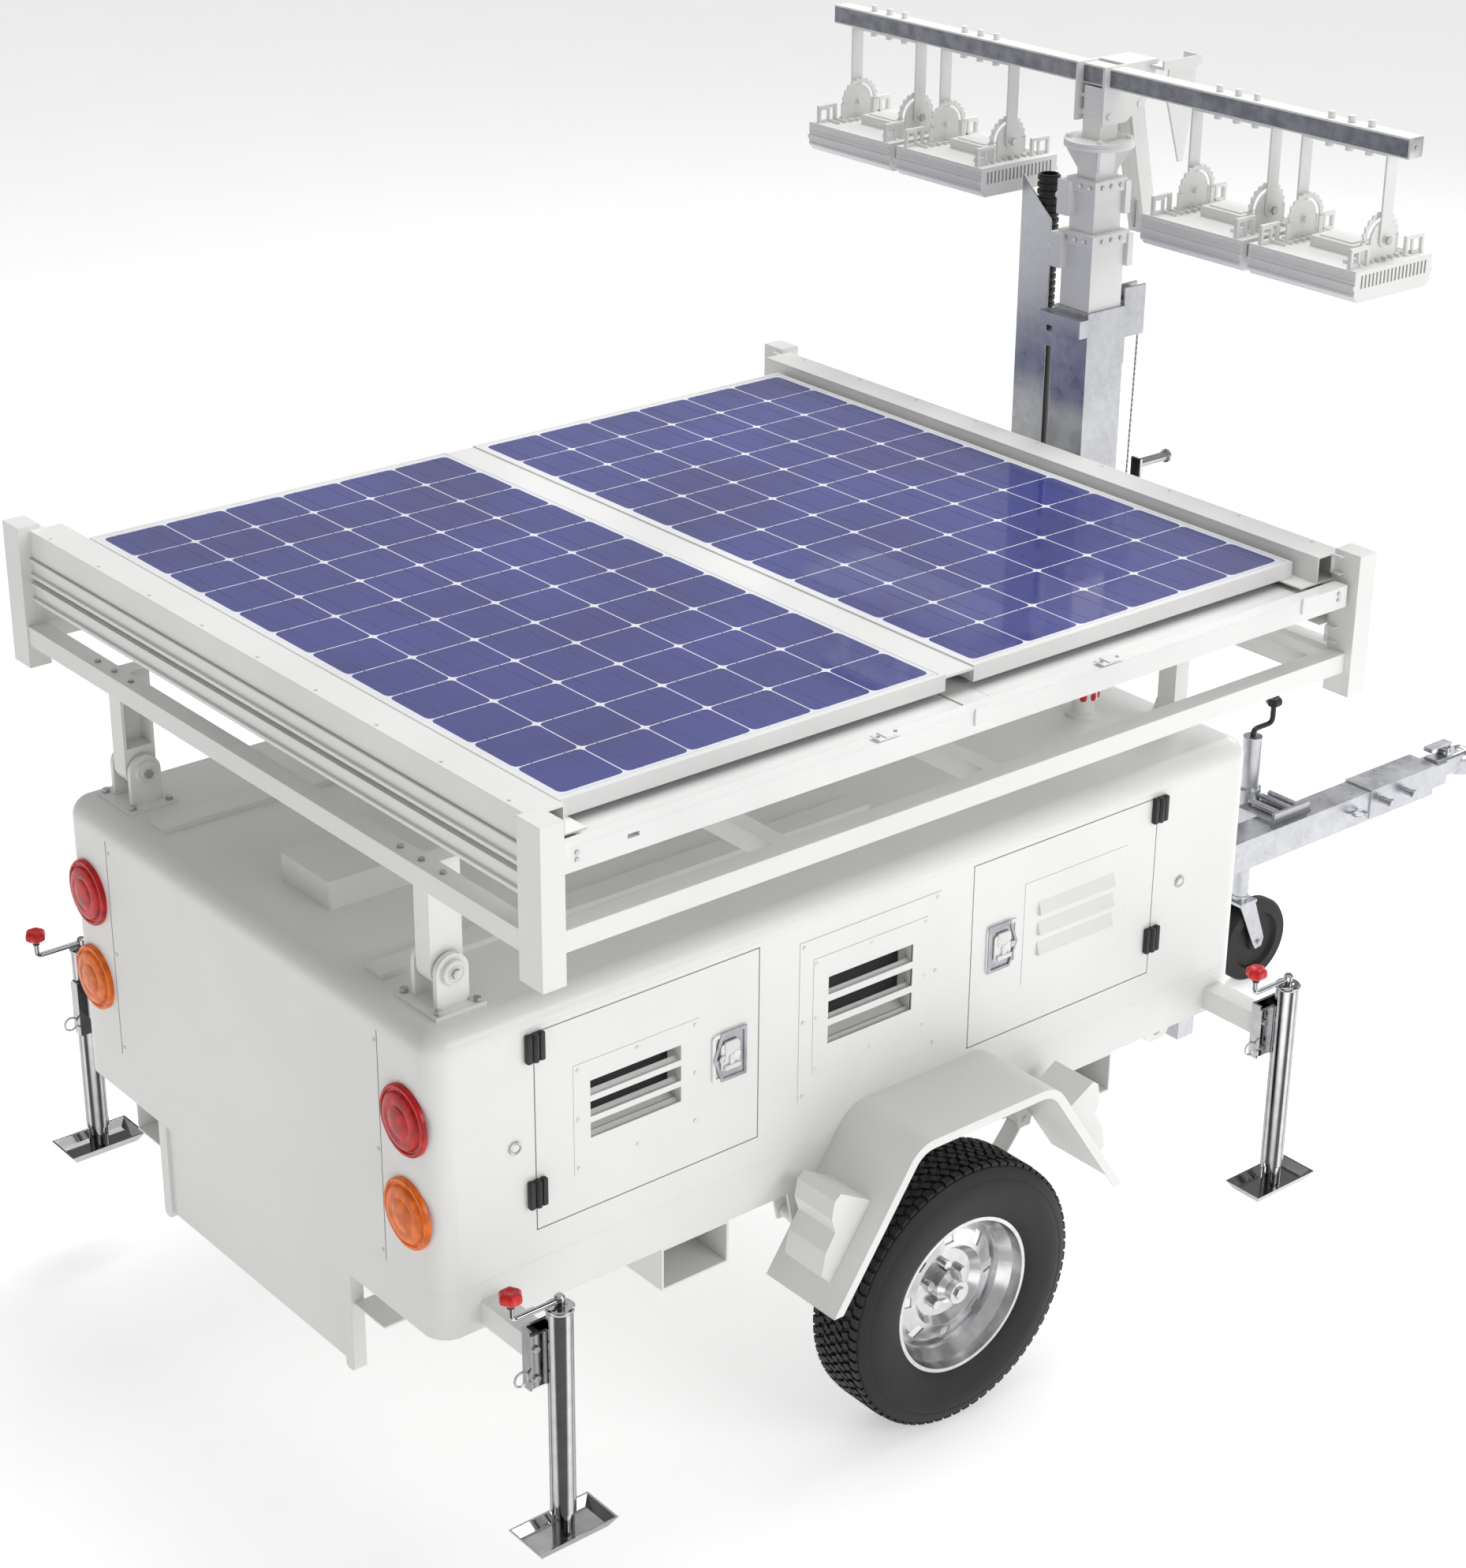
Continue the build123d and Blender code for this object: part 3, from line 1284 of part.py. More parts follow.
def lamp(y):
    """Floodlight: finned housing, driver, quadrant brackets and corner handles."""
    x0 = mast_x - lamp_depth / 2
    x1 = mast_x + lamp_depth / 2
    y0 = y - lamp_width / 2
    y1 = y + lamp_width / 2
    z0 = lamp_bottom
    z1 = z0 + lamp_height
    body = block(x0, x1, y0, y1, z0, z1)
    body = chamfer(body.edges().filter_by(Axis.Y).group_by(Axis.Z)[0], 16)
    body -= block(x0 + 18, x1 - 18, y0 + 12, y1 - 12, z0 - 1, z0 + 6)
    body += block(x0 - 5, x0, y0, y1, z0 + 34, z0 + 44)
    body += block(x1, x1 + 5, y0, y1, z0 + 34, z0 + 44)
    body += block(mast_x - 40, mast_x + 74, y - 72, y + 62, z1, z1 + 26)
    for sign in (-1, 1):
        edge = y + sign * (yoke_half - yoke_sheet - 1)
        inner = edge - sign * 6
        quad = rod_y(mast_x, edge, inner, lamp_pivot_z, 46)
        quad &= block(mast_x - 60, mast_x + 60, min(edge, inner), max(edge, inner),
                      lamp_pivot_z - 10, lamp_pivot_z + 60)
        quad += block(mast_x - 46, mast_x + 46, edge, inner, z1, lamp_pivot_z)
        quad += block(mast_x - 70, mast_x + 70, edge, edge - sign * 26, z1, z1 + 5)
        quad -= rod_y(mast_x, edge + sign, inner - sign * 1, lamp_pivot_z, 8 + pin_clearance)
        body += quad
        for x in (x0 + 26, x1 - 26):
            handle = block(x - 20, x + 20, y + sign * (lamp_width / 2 - 34),
                           y + sign * (lamp_width / 2 - 28), z1, z1 + 44)
            handle -= block(x - 13, x + 13, y + sign * (lamp_width / 2 - 36),
                            y + sign * (lamp_width / 2 - 26), z1 + 8, z1 + 36)
            body += handle
    return body


# ------------------------------------------------------------------ equipment inside

def power_pack():
    """Tray of batteries and the charge controller standing on the floor plate."""
    base = skirt_top + floor_sheet
    out = [block(300, 900, -420, 420, base, base + 30)]
    for row in range(2):
        for column in range(4):
            x = 330 + row * 280
            y = -380 + column * 195
            case = block(x, x + 255, y, y + 170, base + 30, base + 240)
            case += rod_z(x + 35, y + 40, base + 240, base + 256, 9)
            case += rod_z(x + 35, y + 130, base + 240, base + 256, 9)
            out.append(case)
    cabinet = block(1640, 1900, -260, 260, base, base + 480)
    out.append(cabinet + block(1900, 1912, -180, 180, base + 160, base + 420))
    return out


# ------------------------------------------------------------------ output

def write_body():
    frame, floor = chassis_frame()
    save("chassis_frame", frame, floor, *fork_pockets())
    shell = cabinet_shell()
    save("side_wall_right", side_wall(shell, -1), vent_panel(-1))
    save("side_wall_left", side_wall(shell, 1), vent_panel(1))
    save("end_panels", end_panel(shell, False), end_panel(shell, True))
    save("roof_panel", roof_panel(shell))
    for side, word in ((-1, "right"), (1, "left")):
        save("door_rear_" + word, door(rear_door_x, side, True, True))
        save("door_front_" + word, door(front_door_x, side, False, False))
    save("door_hinges", *hinges())
    save("power_pack", *power_pack())
    save("lenses_red", tail_lens(-697, 1258), tail_lens(697, 1258))
    save("lenses_amber", tail_lens(-697, 1022), tail_lens(697, 1022))
    save("rear_bumper", rear_bumper())
    chocks = [chock(side, rear) for side in (-1, 1) for rear in (True, False)]
    save("fenders", fender(-1), fender(1), *chocks)


def write_running_gear():
    save("axle_beam", axle_beam(), leaf_spring(-1), leaf_spring(1))
    for side, word in ((-1, "right"), (1, "left")):
        save("tyre_" + word, tyre(side))
        save("rim_" + word, rim(side))
    save("drawbar", drawbar(), *clamp_screws())
    save("drawbar_extension", drawbar_extension())
    save("coupler_lever", coupler_lever())
    save("jockey_tube", jockey_tube())
    save("jockey_leg", jockey_leg())
    save("jockey_fork", jockey_fork())
    save("jockey_wheel", jockey_wheel())
    save("jockey_crank", jockey_crank())
    for place, x, toward in (("rear", rear_jack_x, -1), ("front", front_jack_x, -1)):
        for side, word in ((-1, "right"), (1, "left")):
            name = "jack_" + place + "_" + word
            save(name + "_tube", jack_tube(x, side))
            save(name + "_leg", jack_leg(x, side))
            save(name + "_crank", jack_crank(x, side, toward))


def write_deck():
    save("deck_frame", *deck_frame().solids())
    save("deck_base", deck_base())
    save("upper_modules", *upper_modules())
    for side, word, low in ((-1, "right", upper_tray_bottom), (1, "left", lower_tray_bottom)):
        save("tray_" + word, tray(side, low), *tray_modules(side, low))
    save("deck_supports", pivot_base(-1), pivot_base(1), rest_post(-1), rest_post(1),
         *roof_stud(), junction_box(), *roof_battens())


def write_mast():
    save("mast_outer", mast_outer(), cable_guard())
    save("mast_conduit", mast_conduit())
    save("mast_winch", mast_winch())
    save("winch_crank", winch_crank())
    save("mast_rope", mast_rope())
    for stage in (1, 2, 3):
        save("mast_stage_" + str(stage), mast_stage(stage))
    save("lamp_head", lamp_head())
    save("lamp_yokes", *lamp_yokes())
    for i, y in enumerate(lamp_centres):
        save("lamp_" + str(i + 1), lamp(y))


os.makedirs("parts", exist_ok=True)
write_body()
write_running_gear()
write_deck()
write_mast()
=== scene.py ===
import json
import math
import bmesh
import bpy
from mathutils import Matrix, Vector

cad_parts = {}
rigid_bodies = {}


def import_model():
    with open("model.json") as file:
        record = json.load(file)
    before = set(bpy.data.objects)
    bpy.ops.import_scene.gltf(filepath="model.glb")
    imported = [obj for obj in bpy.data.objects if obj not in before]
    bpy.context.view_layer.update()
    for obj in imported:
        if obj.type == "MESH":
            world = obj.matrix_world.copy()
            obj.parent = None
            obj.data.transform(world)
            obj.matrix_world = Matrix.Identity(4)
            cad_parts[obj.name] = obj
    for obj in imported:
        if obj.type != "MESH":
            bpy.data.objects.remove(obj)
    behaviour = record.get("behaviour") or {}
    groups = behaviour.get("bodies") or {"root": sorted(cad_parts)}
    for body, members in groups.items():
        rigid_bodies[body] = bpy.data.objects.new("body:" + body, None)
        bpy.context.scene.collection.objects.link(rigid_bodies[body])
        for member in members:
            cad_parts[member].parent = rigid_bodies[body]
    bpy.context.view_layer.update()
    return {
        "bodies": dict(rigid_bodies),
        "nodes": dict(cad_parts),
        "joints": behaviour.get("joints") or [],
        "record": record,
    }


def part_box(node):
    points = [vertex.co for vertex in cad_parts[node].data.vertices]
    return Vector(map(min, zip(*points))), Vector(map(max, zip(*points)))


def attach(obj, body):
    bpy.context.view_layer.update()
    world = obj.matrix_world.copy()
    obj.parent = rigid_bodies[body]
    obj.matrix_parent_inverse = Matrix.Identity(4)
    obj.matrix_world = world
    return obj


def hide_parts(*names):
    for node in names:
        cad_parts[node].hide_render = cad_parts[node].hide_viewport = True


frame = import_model()
nodes = frame["nodes"]
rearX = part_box("chassis_frame")[0][0]  # rear wall of the cabinet
sides = ((-1, "right"), (1, "left"))
print("frame loaded,", len(nodes), "nodes")


# helpers: places, colours, nodes and meshes

def at(x, y, z):
    # millimetres forward of the rear wall, to the left, above the ground
    return Vector((rearX + x / 1000, y / 1000, z / 1000))


def linear(hexText):
    values = [int(hexText[i:i + 2], 16) / 255 for i in (1, 3, 5)]
    values = [v / 12.92 if v <= 0.04045 else ((v + 0.055) / 1.055) ** 2.4 for v in values]
    return (*values, 1.0)


def addNode(tree, kind, inputs=None, **settings):
    node = tree.nodes.new(kind)
    for key, value in settings.items():
        setattr(node, key, value)
    for key, value in (inputs or {}).items():
        if isinstance(value, bpy.types.NodeSocket):
            tree.links.new(value, node.inputs[key])
        else:
            node.inputs[key].default_value = value
    return node


def newMaterial(name):
    material = bpy.data.materials.new(name)
    material.use_nodes = True
    tree = material.node_tree
    shader = tree.nodes["Principled BSDF"]
    place = addNode(tree, "ShaderNodeTexCoord").outputs["Object"]
    return material, tree, shader, place


def setShader(shader, **values):
    for key, value in values.items():
        shader.inputs[key.replace("_", " ")].default_value = value


def shade(tree, factor, dark, light, start=0.35, end=0.65):
    ramp = addNode(tree, "ShaderNodeValToRGB", {"Fac": factor})
    ramp.color_ramp.elements[0].position = start
    ramp.color_ramp.elements[1].position = end
    ramp.color_ramp.elements[0].color = linear(dark)
    ramp.color_ramp.elements[1].color = linear(light)
    return ramp.outputs["Color"]


def noise(tree, place, millimetres, detail=3.0):
    return addNode(tree, "ShaderNodeTexNoise", {"Vector": place, "Scale": 1000 / millimetres,
                                                "Detail": detail}).outputs["Fac"]


def bump(tree, shader, height, strength, distance, normal=None):
    links = {"Height": height, "Strength": strength, "Distance": distance / 1000}
    if normal is not None:
        links["Normal"] = normal
    node = addNode(tree, "ShaderNodeBump", links)
    tree.links.new(node.outputs["Normal"], shader.inputs["Normal"])


def softEdge(tree, millimetres):
    return addNode(tree, "ShaderNodeBevel", {"Radius": millimetres / 1000}, samples=4).outputs["Normal"]


def linked(name, data):
    obj = bpy.data.objects.new(name, data)
    bpy.context.scene.collection.objects.link(obj)
    return obj


def smoothed(name, mesh, material, angle):
    # one finish, smooth faces, and sharp edges past the angle
    mesh.materials.clear()
    mesh.materials.append(material)
    mesh.shade_smooth()
    mesh.set_sharp_from_angle(angle=math.radians(angle))
    return linked(name, mesh)


def meshObject(name, verts, faces, material):
    mesh = bpy.data.meshes.new(name)
    mesh.from_pydata([tuple(v) for v in verts], [], faces)
    mesh.materials.append(material)
    mesh.update()
    return linked(name, mesh)


def fromBmesh(name, bm, material, smoothAngle=35):
    bmesh.ops.remove_doubles(bm, verts=bm.verts, dist=1e-6)
    bmesh.ops.recalc_face_normals(bm, faces=bm.faces)
    mesh = bpy.data.meshes.new(name)
    bm.to_mesh(mesh)
    bm.free()
    return smoothed(name, mesh, material, smoothAngle)


def joinObjects(name, objects):
    bm = bmesh.new()
    for o in objects:
        bm.from_mesh(o.data)
    mesh = bpy.data.meshes.new(name)
    bm.to_mesh(mesh)
    bm.free()
    material = objects[0].data.materials[0]
    for o in objects:
        bpy.data.objects.remove(o)
    return smoothed(name, mesh, material, 35)


def addBox(bm, low, high, bevel=0.0):
    size = [abs(high[i] - low[i]) for i in range(3)]
    centre = [(high[i] + low[i]) / 2 for i in range(3)]
    made = bmesh.ops.create_cube(bm, size=1.0)["verts"]
    bmesh.ops.scale(bm, vec=size, verts=made)
    bmesh.ops.translate(bm, vec=centre, verts=made)
    if bevel:
        edges = list({e for v in made for e in v.link_edges})
        bmesh.ops.bevel(bm, geom=edges, offset=bevel, segments=2, affect="EDGES", profile=0.6)


def spun(name, profile, centre, axis, material, steps=64, smoothAngle=32):
    # profile is (radius, along axis) pairs in millimetres, open ends are closed on the axis
    bm = bmesh.new()
    rings = []
    side = Vector((0, 0, 1)) if axis != "z" else Vector((1, 0, 0))
    line = {"x": Vector((1, 0, 0)), "y": Vector((0, 1, 0)), "z": Vector((0, 0, 1))}[axis]
    other = line.cross(side)
    for radius, along in profile:
        if radius < 0.01:
            rings.append([bm.verts.new(centre + line * along / 1000)])
            continue
        ring = []
        for i in range(steps):
            a = 2 * math.pi * i / steps
            ring.append(bm.verts.new(centre + line * along / 1000
                                     + (side * math.cos(a) + other * math.sin(a)) * radius / 1000))
        rings.append(ring)
    for first, second in zip(rings, rings[1:]):
        for i in range(steps):
            j = (i + 1) % steps
            if len(first) == 1 and len(second) == 1:
                continue
            if len(first) == 1:
                bm.faces.new((first[0], second[i], second[j]))
            elif len(second) == 1:
                bm.faces.new((first[i], first[j], second[0]))
            else:
                bm.faces.new((first[i], first[j], second[j], second[i]))
    return fromBmesh(name, bm, material, smoothAngle)


def bentRod(name, points, radius, material, bend=0.012, sides=14):
    # a round bar with rounded elbows
    path = [Vector(p) for p in points]
    line = [path[0]]
    for a, b, c in zip(path, path[1:], path[2:]):
        back = (a - b).normalized()
        ahead = (c - b).normalized()
        reach = min(bend, (a - b).length * 0.45, (c - b).length * 0.45)
        for step in range(7):
            t = step / 6
            line.append((1 - t) ** 2 * (b + back * reach) + 2 * t * (1 - t) * b + t ** 2 * (b + ahead * reach))
    line.append(path[-1])
    bm = bmesh.new()
    rings = []
    up = Vector((0.31, 0.2, 0.93))
    for i, p in enumerate(line):
        forward = (line[min(i + 1, len(line) - 1)] - line[max(i - 1, 0)]).normalized()
        across = forward.cross(up).normalized()
        up = across.cross(forward).normalized()
        rings.append([bm.verts.new(p + (across * math.cos(2 * math.pi * k / sides)
                                        + up * math.sin(2 * math.pi * k / sides)) * radius)
                      for k in range(sides)])
    for first, second in zip(rings, rings[1:]):
        for i in range(sides):
            j = (i + 1) % sides
            bm.faces.new((first[i], first[j], second[j], second[i]))
    bm.faces.new(rings[0])
    bm.faces.new(rings[-1])
    return fromBmesh(name, bm, material, 40)


# finishes

def makePowderCoat(name, colour, rough):
    # polyester powder coat on steel: even satin white with a faint orange peel
    material, tree, shader, place = newMaterial(name)
    tone = noise(tree, place, 420, 2.0)
    light, dark = colour
    tree.links.new(shade(tree, tone, dark, light), shader.inputs["Base Color"])
    setShader(shader, Roughness=rough, IOR=1.5)
    peel = noise(tree, place, 7.0, 1.0)  # real peel is about 2 mm, drawn coarser so that it shows
    bump(tree, shader, peel, 0.05, 0.2, softEdge(tree, 1.4))
    return material


def makeGalvanised(name):
    # hot-dip zinc: blue-grey spangle that changes in gloss from crystal to crystal
    material, tree, shader, place = newMaterial(name)
    crystal = addNode(tree, "ShaderNodeTexVoronoi", {"Vector": place, "Scale": 1000 / 16, "Randomness": 1.0})
    mixed = addNode(tree, "ShaderNodeMath", {0: crystal.outputs["Color"], 1: 0.35}, operation="MULTIPLY")
    cloud = addNode(tree, "ShaderNodeMath", {0: mixed.outputs[0], 1: noise(tree, place, 90, 3.0)},
                    operation="ADD")
    tree.links.new(shade(tree, cloud.outputs[0], "#A6A7AB", "#C4C5C9", 0.2, 1.0), shader.inputs["Base Color"])
    spread = addNode(tree, "ShaderNodeMapRange", {"Value": cloud.outputs[0], "From Min": 0.3, "From Max": 0.9,
                                                  "To Min": 0.24, "To Max": 0.36})
    tree.links.new(spread.outputs["Result"], shader.inputs["Roughness"])
    setShader(shader, Metallic=1.0)
    bump(tree, shader, noise(tree, place, 30, 2.0), 0.05, 0.3, softEdge(tree, 2.0))
    return material


def makeMetal(name, colour, rough, reflectionBands=0.0):
    # plated or machined metal: mirror gloss broken by faint polishing haze, and painted reflection:
    # dark stripes multiplied into the base colour by viewing angle, where the gloss of a bright surface would pick
    # up a dark room as it curves away
    material, tree, shader, place = newMaterial(name)
    haze = noise(tree, place, 35, 3.0)
    light, dark = colour
    # painted reflection: the facing ramp darkens the base colour in stripes that depend on the viewing angle
    facing = addNode(tree, "ShaderNodeLayerWeight", {"Blend": 0.5})
    paintedReflectionRamp = addNode(tree, "ShaderNodeValToRGB", {"Fac": facing.outputs["Facing"]})
    stops = paintedReflectionRamp.color_ramp.elements
    stops[0].position, stops[1].position = 0.0, 1.0
    for position, value in ((0.12, 1.0), (0.17, 0.05), (0.24, 0.05), (0.30, 0.8), (0.43, 0.65), (0.5, 0.08),
                            (0.57, 0.75), (0.72, 0.12), (0.88, 0.7)):
        stops.new(position).color = (value, value, value, 1.0)
    stops[0].color = (1.0, 1.0, 1.0, 1.0)
    mixed = addNode(tree, "ShaderNodeMix", {0: reflectionBands, 6: shade(tree, haze, dark, light), 7: paintedReflectionRamp.outputs["Color"]},
                    data_type="RGBA", blend_type="MULTIPLY")
    tree.links.new(mixed.outputs[2], shader.inputs["Base Color"])
    spread = addNode(tree, "ShaderNodeMapRange", {"Value": haze, "To Min": rough * 0.8, "To Max": rough * 1.3})
    tree.links.new(spread.outputs["Result"], shader.inputs["Roughness"])
    setShader(shader, Metallic=1.0)
    bump(tree, shader, noise(tree, place, 4.0, 1.0), 0.03, 0.1, softEdge(tree, 1.2))
    return material


def makePlastic(name, colour, rough, grain):
    # moulded plastic or rubber: dull skin with a fine spark-eroded grain
    material, tree, shader, place = newMaterial(name)
    light, dark = colour
    tree.links.new(shade(tree, noise(tree, place, 60, 2.0), dark, light), shader.inputs["Base Color"])
    setShader(shader, Roughness=rough, IOR=1.49)
    bump(tree, shader, noise(tree, place, 2.5, 2.0), grain, 0.2, softEdge(tree, 1.0))
    return material


def makeLens(name, light, dark):
    # moulded acrylic lens: deep colour, glossy skin, prism rings behind it, and a faint painted glow in its own
    # colour
    material, tree, shader, place = newMaterial(name)
    tree.links.new(shade(tree, noise(tree, place, 26, 1.0), dark, light), shader.inputs["Base Color"])
    # the small emission is painted light, a glow that brightens the lens colour
    setShader(shader, Roughness=0.4, IOR=1.35, Coat_Weight=0.25, Coat_Roughness=0.1,
              Emission_Color=linear(light), Emission_Strength=0.12)
    prism = addNode(tree, "ShaderNodeTexVoronoi", {"Vector": place, "Scale": 1000 / 9})
    bump(tree, shader, prism.outputs["Distance"], 0.25, 0.6)
    return material


def makeCell(name):
    # monocrystalline silicon under glass: deep blue that drifts slowly in tone, with a wet gloss
    material, tree, shader, place = newMaterial(name)
    tree.links.new(shade(tree, noise(tree, place, 420, 2.0), "#1B2478", "#28318C"), shader.inputs["Base Color"])
    setShader(shader, Metallic=0.1, Roughness=0.42, Coat_Weight=1.0, Coat_Roughness=0.06, Coat_IOR=1.6)
    return material


def makeRope(name):
    # bright drawn wire laid in strands: diagonal ridges in the bump, and painted highlight and shade in diagonal
    # stripes of the colour, as if the ridges catch the light one after another
    material, tree, shader, place = newMaterial(name)
    strandRidgesAndHighlight = addNode(tree, "ShaderNodeTexWave", {"Vector": place, "Scale": 1000 / 24, "Distortion": 0.0},
                   bands_direction="DIAGONAL")
    # the strand pattern lightens and darkens the colour: painted highlight and shade
    tree.links.new(shade(tree, strandRidgesAndHighlight.outputs["Fac"], "#8C8E92", "#C4C6C9", 0.2, 0.8), shader.inputs["Base Color"])
    setShader(shader, Metallic=1.0, Roughness=0.35)
    bump(tree, shader, strandRidgesAndHighlight.outputs["Fac"], 0.6, 1.0)
    return material


whiteCoat = makePowderCoat("white powder-coated steel", ("#EAEAE8", "#E5E5E3"), 0.32)
whiteCast = makePowderCoat("white powder-coated aluminium casting", ("#E4E4E2", "#DDDDDB"), 0.4)
anodised = makePowderCoat("clear anodised aluminium extrusion", ("#EAEAE9", "#E0E0DF"), 0.33)
backSheet = makePowderCoat("white backsheet under glass", ("#E9EAF0", "#DFE0E8"), 0.22)
galvanised = makeGalvanised("galvanised steel")
# the last number sets how strongly the painted reflection stripes darken each metal's colour
chrome = makeMetal("chrome-plated steel", ("#E9E9EB", "#DADADD"), 0.10, 0.96)
brightWheel = makeMetal("polished steel wheel", ("#EDEDEE", "#DDDDDF"), 0.2, 0.45)
barDark = makeMetal("brushed steel channel face", ("#8B8D93", "#6E7077"), 0.35)
zincBolt = makeMetal("zinc-plated fastener", ("#DCDCDA", "#C4C4C4"), 0.28, 0.35)
blackPlastic = makePlastic("black moulded nylon", ("#1B1B1C", "#121213"), 0.42, 0.10)
tyreRubber = makePlastic("tyre rubber", ("#111112", "#0C0C0D"), 0.6, 0.2)
seamGrey = makePlastic("shadowed panel joint", ("#8E8E8D", "#858584"), 0.8, 0.0)
redKnob = makePlastic("red moulded knob", ("#D9161A", "#C41216"), 0.32, 0.05)
greyCase = makePlastic("grey battery case", ("#55585C", "#4A4D51"), 0.5, 0.12)
# near-black painted shade, set behind the louvre openings for the dark inside the cabinet
louvreShadeBlack = makePlastic("near-black painted shade behind louvres", ("#1C1D1F", "#151617"), 0.7, 0.1)
redLens = makeLens("red acrylic lens", "#C4070C", "#860408")
amberLens = makeLens("amber acrylic lens", "#E87204", "#C05002")
latchGrey = makeMetal("grey die-cast zinc", ("#A9ABAE", "#93959A"), 0.32)
cellGlass = makePlastic("clear lens glass", ("#C9CED2", "#B9BEC4"), 0.12, 0.0)
siliconCell = makeCell("monocrystalline cell")
steelRope = makeRope("steel wire rope")
ribbonSilver = makeMetal("tinned copper ribbon", ("#8F97C8", "#7C85BC"), 0.3)
print("finishes made")


# repeated pieces by geometry nodes

def newTree(name, inputs):
    tree = bpy.data.node_groups.new(name, "GeometryNodeTree")
    tree.interface.new_socket("Geometry", in_out="INPUT", socket_type="NodeSocketGeometry")
    tree.interface.new_socket("Geometry", in_out="OUTPUT", socket_type="NodeSocketGeometry")
    for key, (kind, value) in inputs.items():
        socket = tree.interface.new_socket(key, in_out="INPUT", socket_type="NodeSocket" + kind)
        if value is not None:
            socket.default_value = value
    return tree, addNode(tree, "NodeGroupInput"), addNode(tree, "NodeGroupOutput")


def closeTree(tree, instances, material, output):
    solid = addNode(tree, "GeometryNodeRealizeInstances", {"Geometry": instances})
    painted = addNode(tree, "GeometryNodeSetMaterial", {"Geometry": solid.outputs[0], "Material": material})
    tree.links.new(painted.outputs[0], output.inputs[0])


def grow(name, tree, seed, values, material):
    # runs a tree on a seed mesh and keeps the result as a plain mesh
    carrier = linked(name + "Seed", seed)
    modifier = carrier.modifiers.new(name, "NODES")
    modifier.node_group = tree
    for item in tree.interface.items_tree:
        if item.in_out == "INPUT" and item.name in values:
            modifier[item.identifier] = values[item.name]
    bpy.context.view_layer.update()
    depsgraph = bpy.context.evaluated_depsgraph_get()
    mesh = bpy.data.meshes.new_from_object(carrier.evaluated_get(depsgraph))
    mesh.name = name
    carrier.modifiers.clear()
    bpy.data.objects.remove(carrier)
    return smoothed(name, mesh, material, 35)


def pointMesh(places, aims):
    mesh = bpy.data.meshes.new("points")
    mesh.from_pydata([tuple(p) for p in places], [], [])
    attribute = mesh.attributes.new("aim", "FLOAT_VECTOR", "POINT")
    for i, a in enumerate(aims):
        attribute.data[i].vector = a
    return mesh


def makeFastenerTree():
    # a head on each point, its axis along the point's aim
    tree, source, output = newTree("fasteners", {"Radius": ("Float", 0.008), "Height": ("Float", 0.005),
                                                 "Sides": ("Int", 6), "Material": ("Material", None)})
    head = addNode(tree, "GeometryNodeMeshCylinder", {"Vertices": source.outputs["Sides"],
                                                      "Radius": source.outputs["Radius"],
                                                      "Depth": source.outputs["Height"]})
    lift = addNode(tree, "ShaderNodeMath", {0: source.outputs["Height"], 1: 0.5}, operation="MULTIPLY")
    shift = addNode(tree, "ShaderNodeCombineXYZ", {"Z": lift.outputs[0]})
    placed = addNode(tree, "GeometryNodeTransform", {"Geometry": head.outputs["Mesh"],
                                                     "Translation": shift.outputs[0]})
    aim = addNode(tree, "GeometryNodeInputNamedAttribute", {"Name": "aim"}, data_type="FLOAT_VECTOR")
    turn = addNode(tree, "FunctionNodeAlignRotationToVector", {"Vector": aim.outputs["Attribute"]}, axis="Z")
    put = addNode(tree, "GeometryNodeInstanceOnPoints", {"Points": source.outputs["Geometry"],
                                                         "Instance": placed.outputs[0],
                                                         "Rotation": turn.outputs[0]})
    closeTree(tree, put.outputs[0], source.outputs["Material"], output)
    return tree


def makeGridTree():
    # boxes on a grid: cells, slats, ribs and slots
    tree, source, output = newTree("boxGrid", {"Count A": ("Int", 6), "Count B": ("Int", 1),
                                               "Pitch A": ("Vector", None), "Pitch B": ("Vector", None),
                                               "Size": ("Vector", None), "Material": ("Material", None)})
    lineA = addNode(tree, "GeometryNodeMeshLine", {"Count": source.outputs["Count A"],
                                                   "Offset": source.outputs["Pitch A"]})
    lineB = addNode(tree, "GeometryNodeMeshLine", {"Count": source.outputs["Count B"],
                                                   "Offset": source.outputs["Pitch B"]})
    cube = addNode(tree, "GeometryNodeMeshCube", {"Size": source.outputs["Size"]})
    row = addNode(tree, "GeometryNodeInstanceOnPoints", {"Points": lineA.outputs[0],
                                                         "Instance": cube.outputs["Mesh"]})
    grid = addNode(tree, "GeometryNodeInstanceOnPoints", {"Points": lineB.outputs[0],
                                                          "Instance": row.outputs[0]})
    each = addNode(tree, "GeometryNodeInstanceOnPoints", {"Points": source.outputs["Geometry"],
                                                          "Instance": grid.outputs[0]})
    closeTree(tree, each.outputs[0], source.outputs["Material"], output)
    return tree


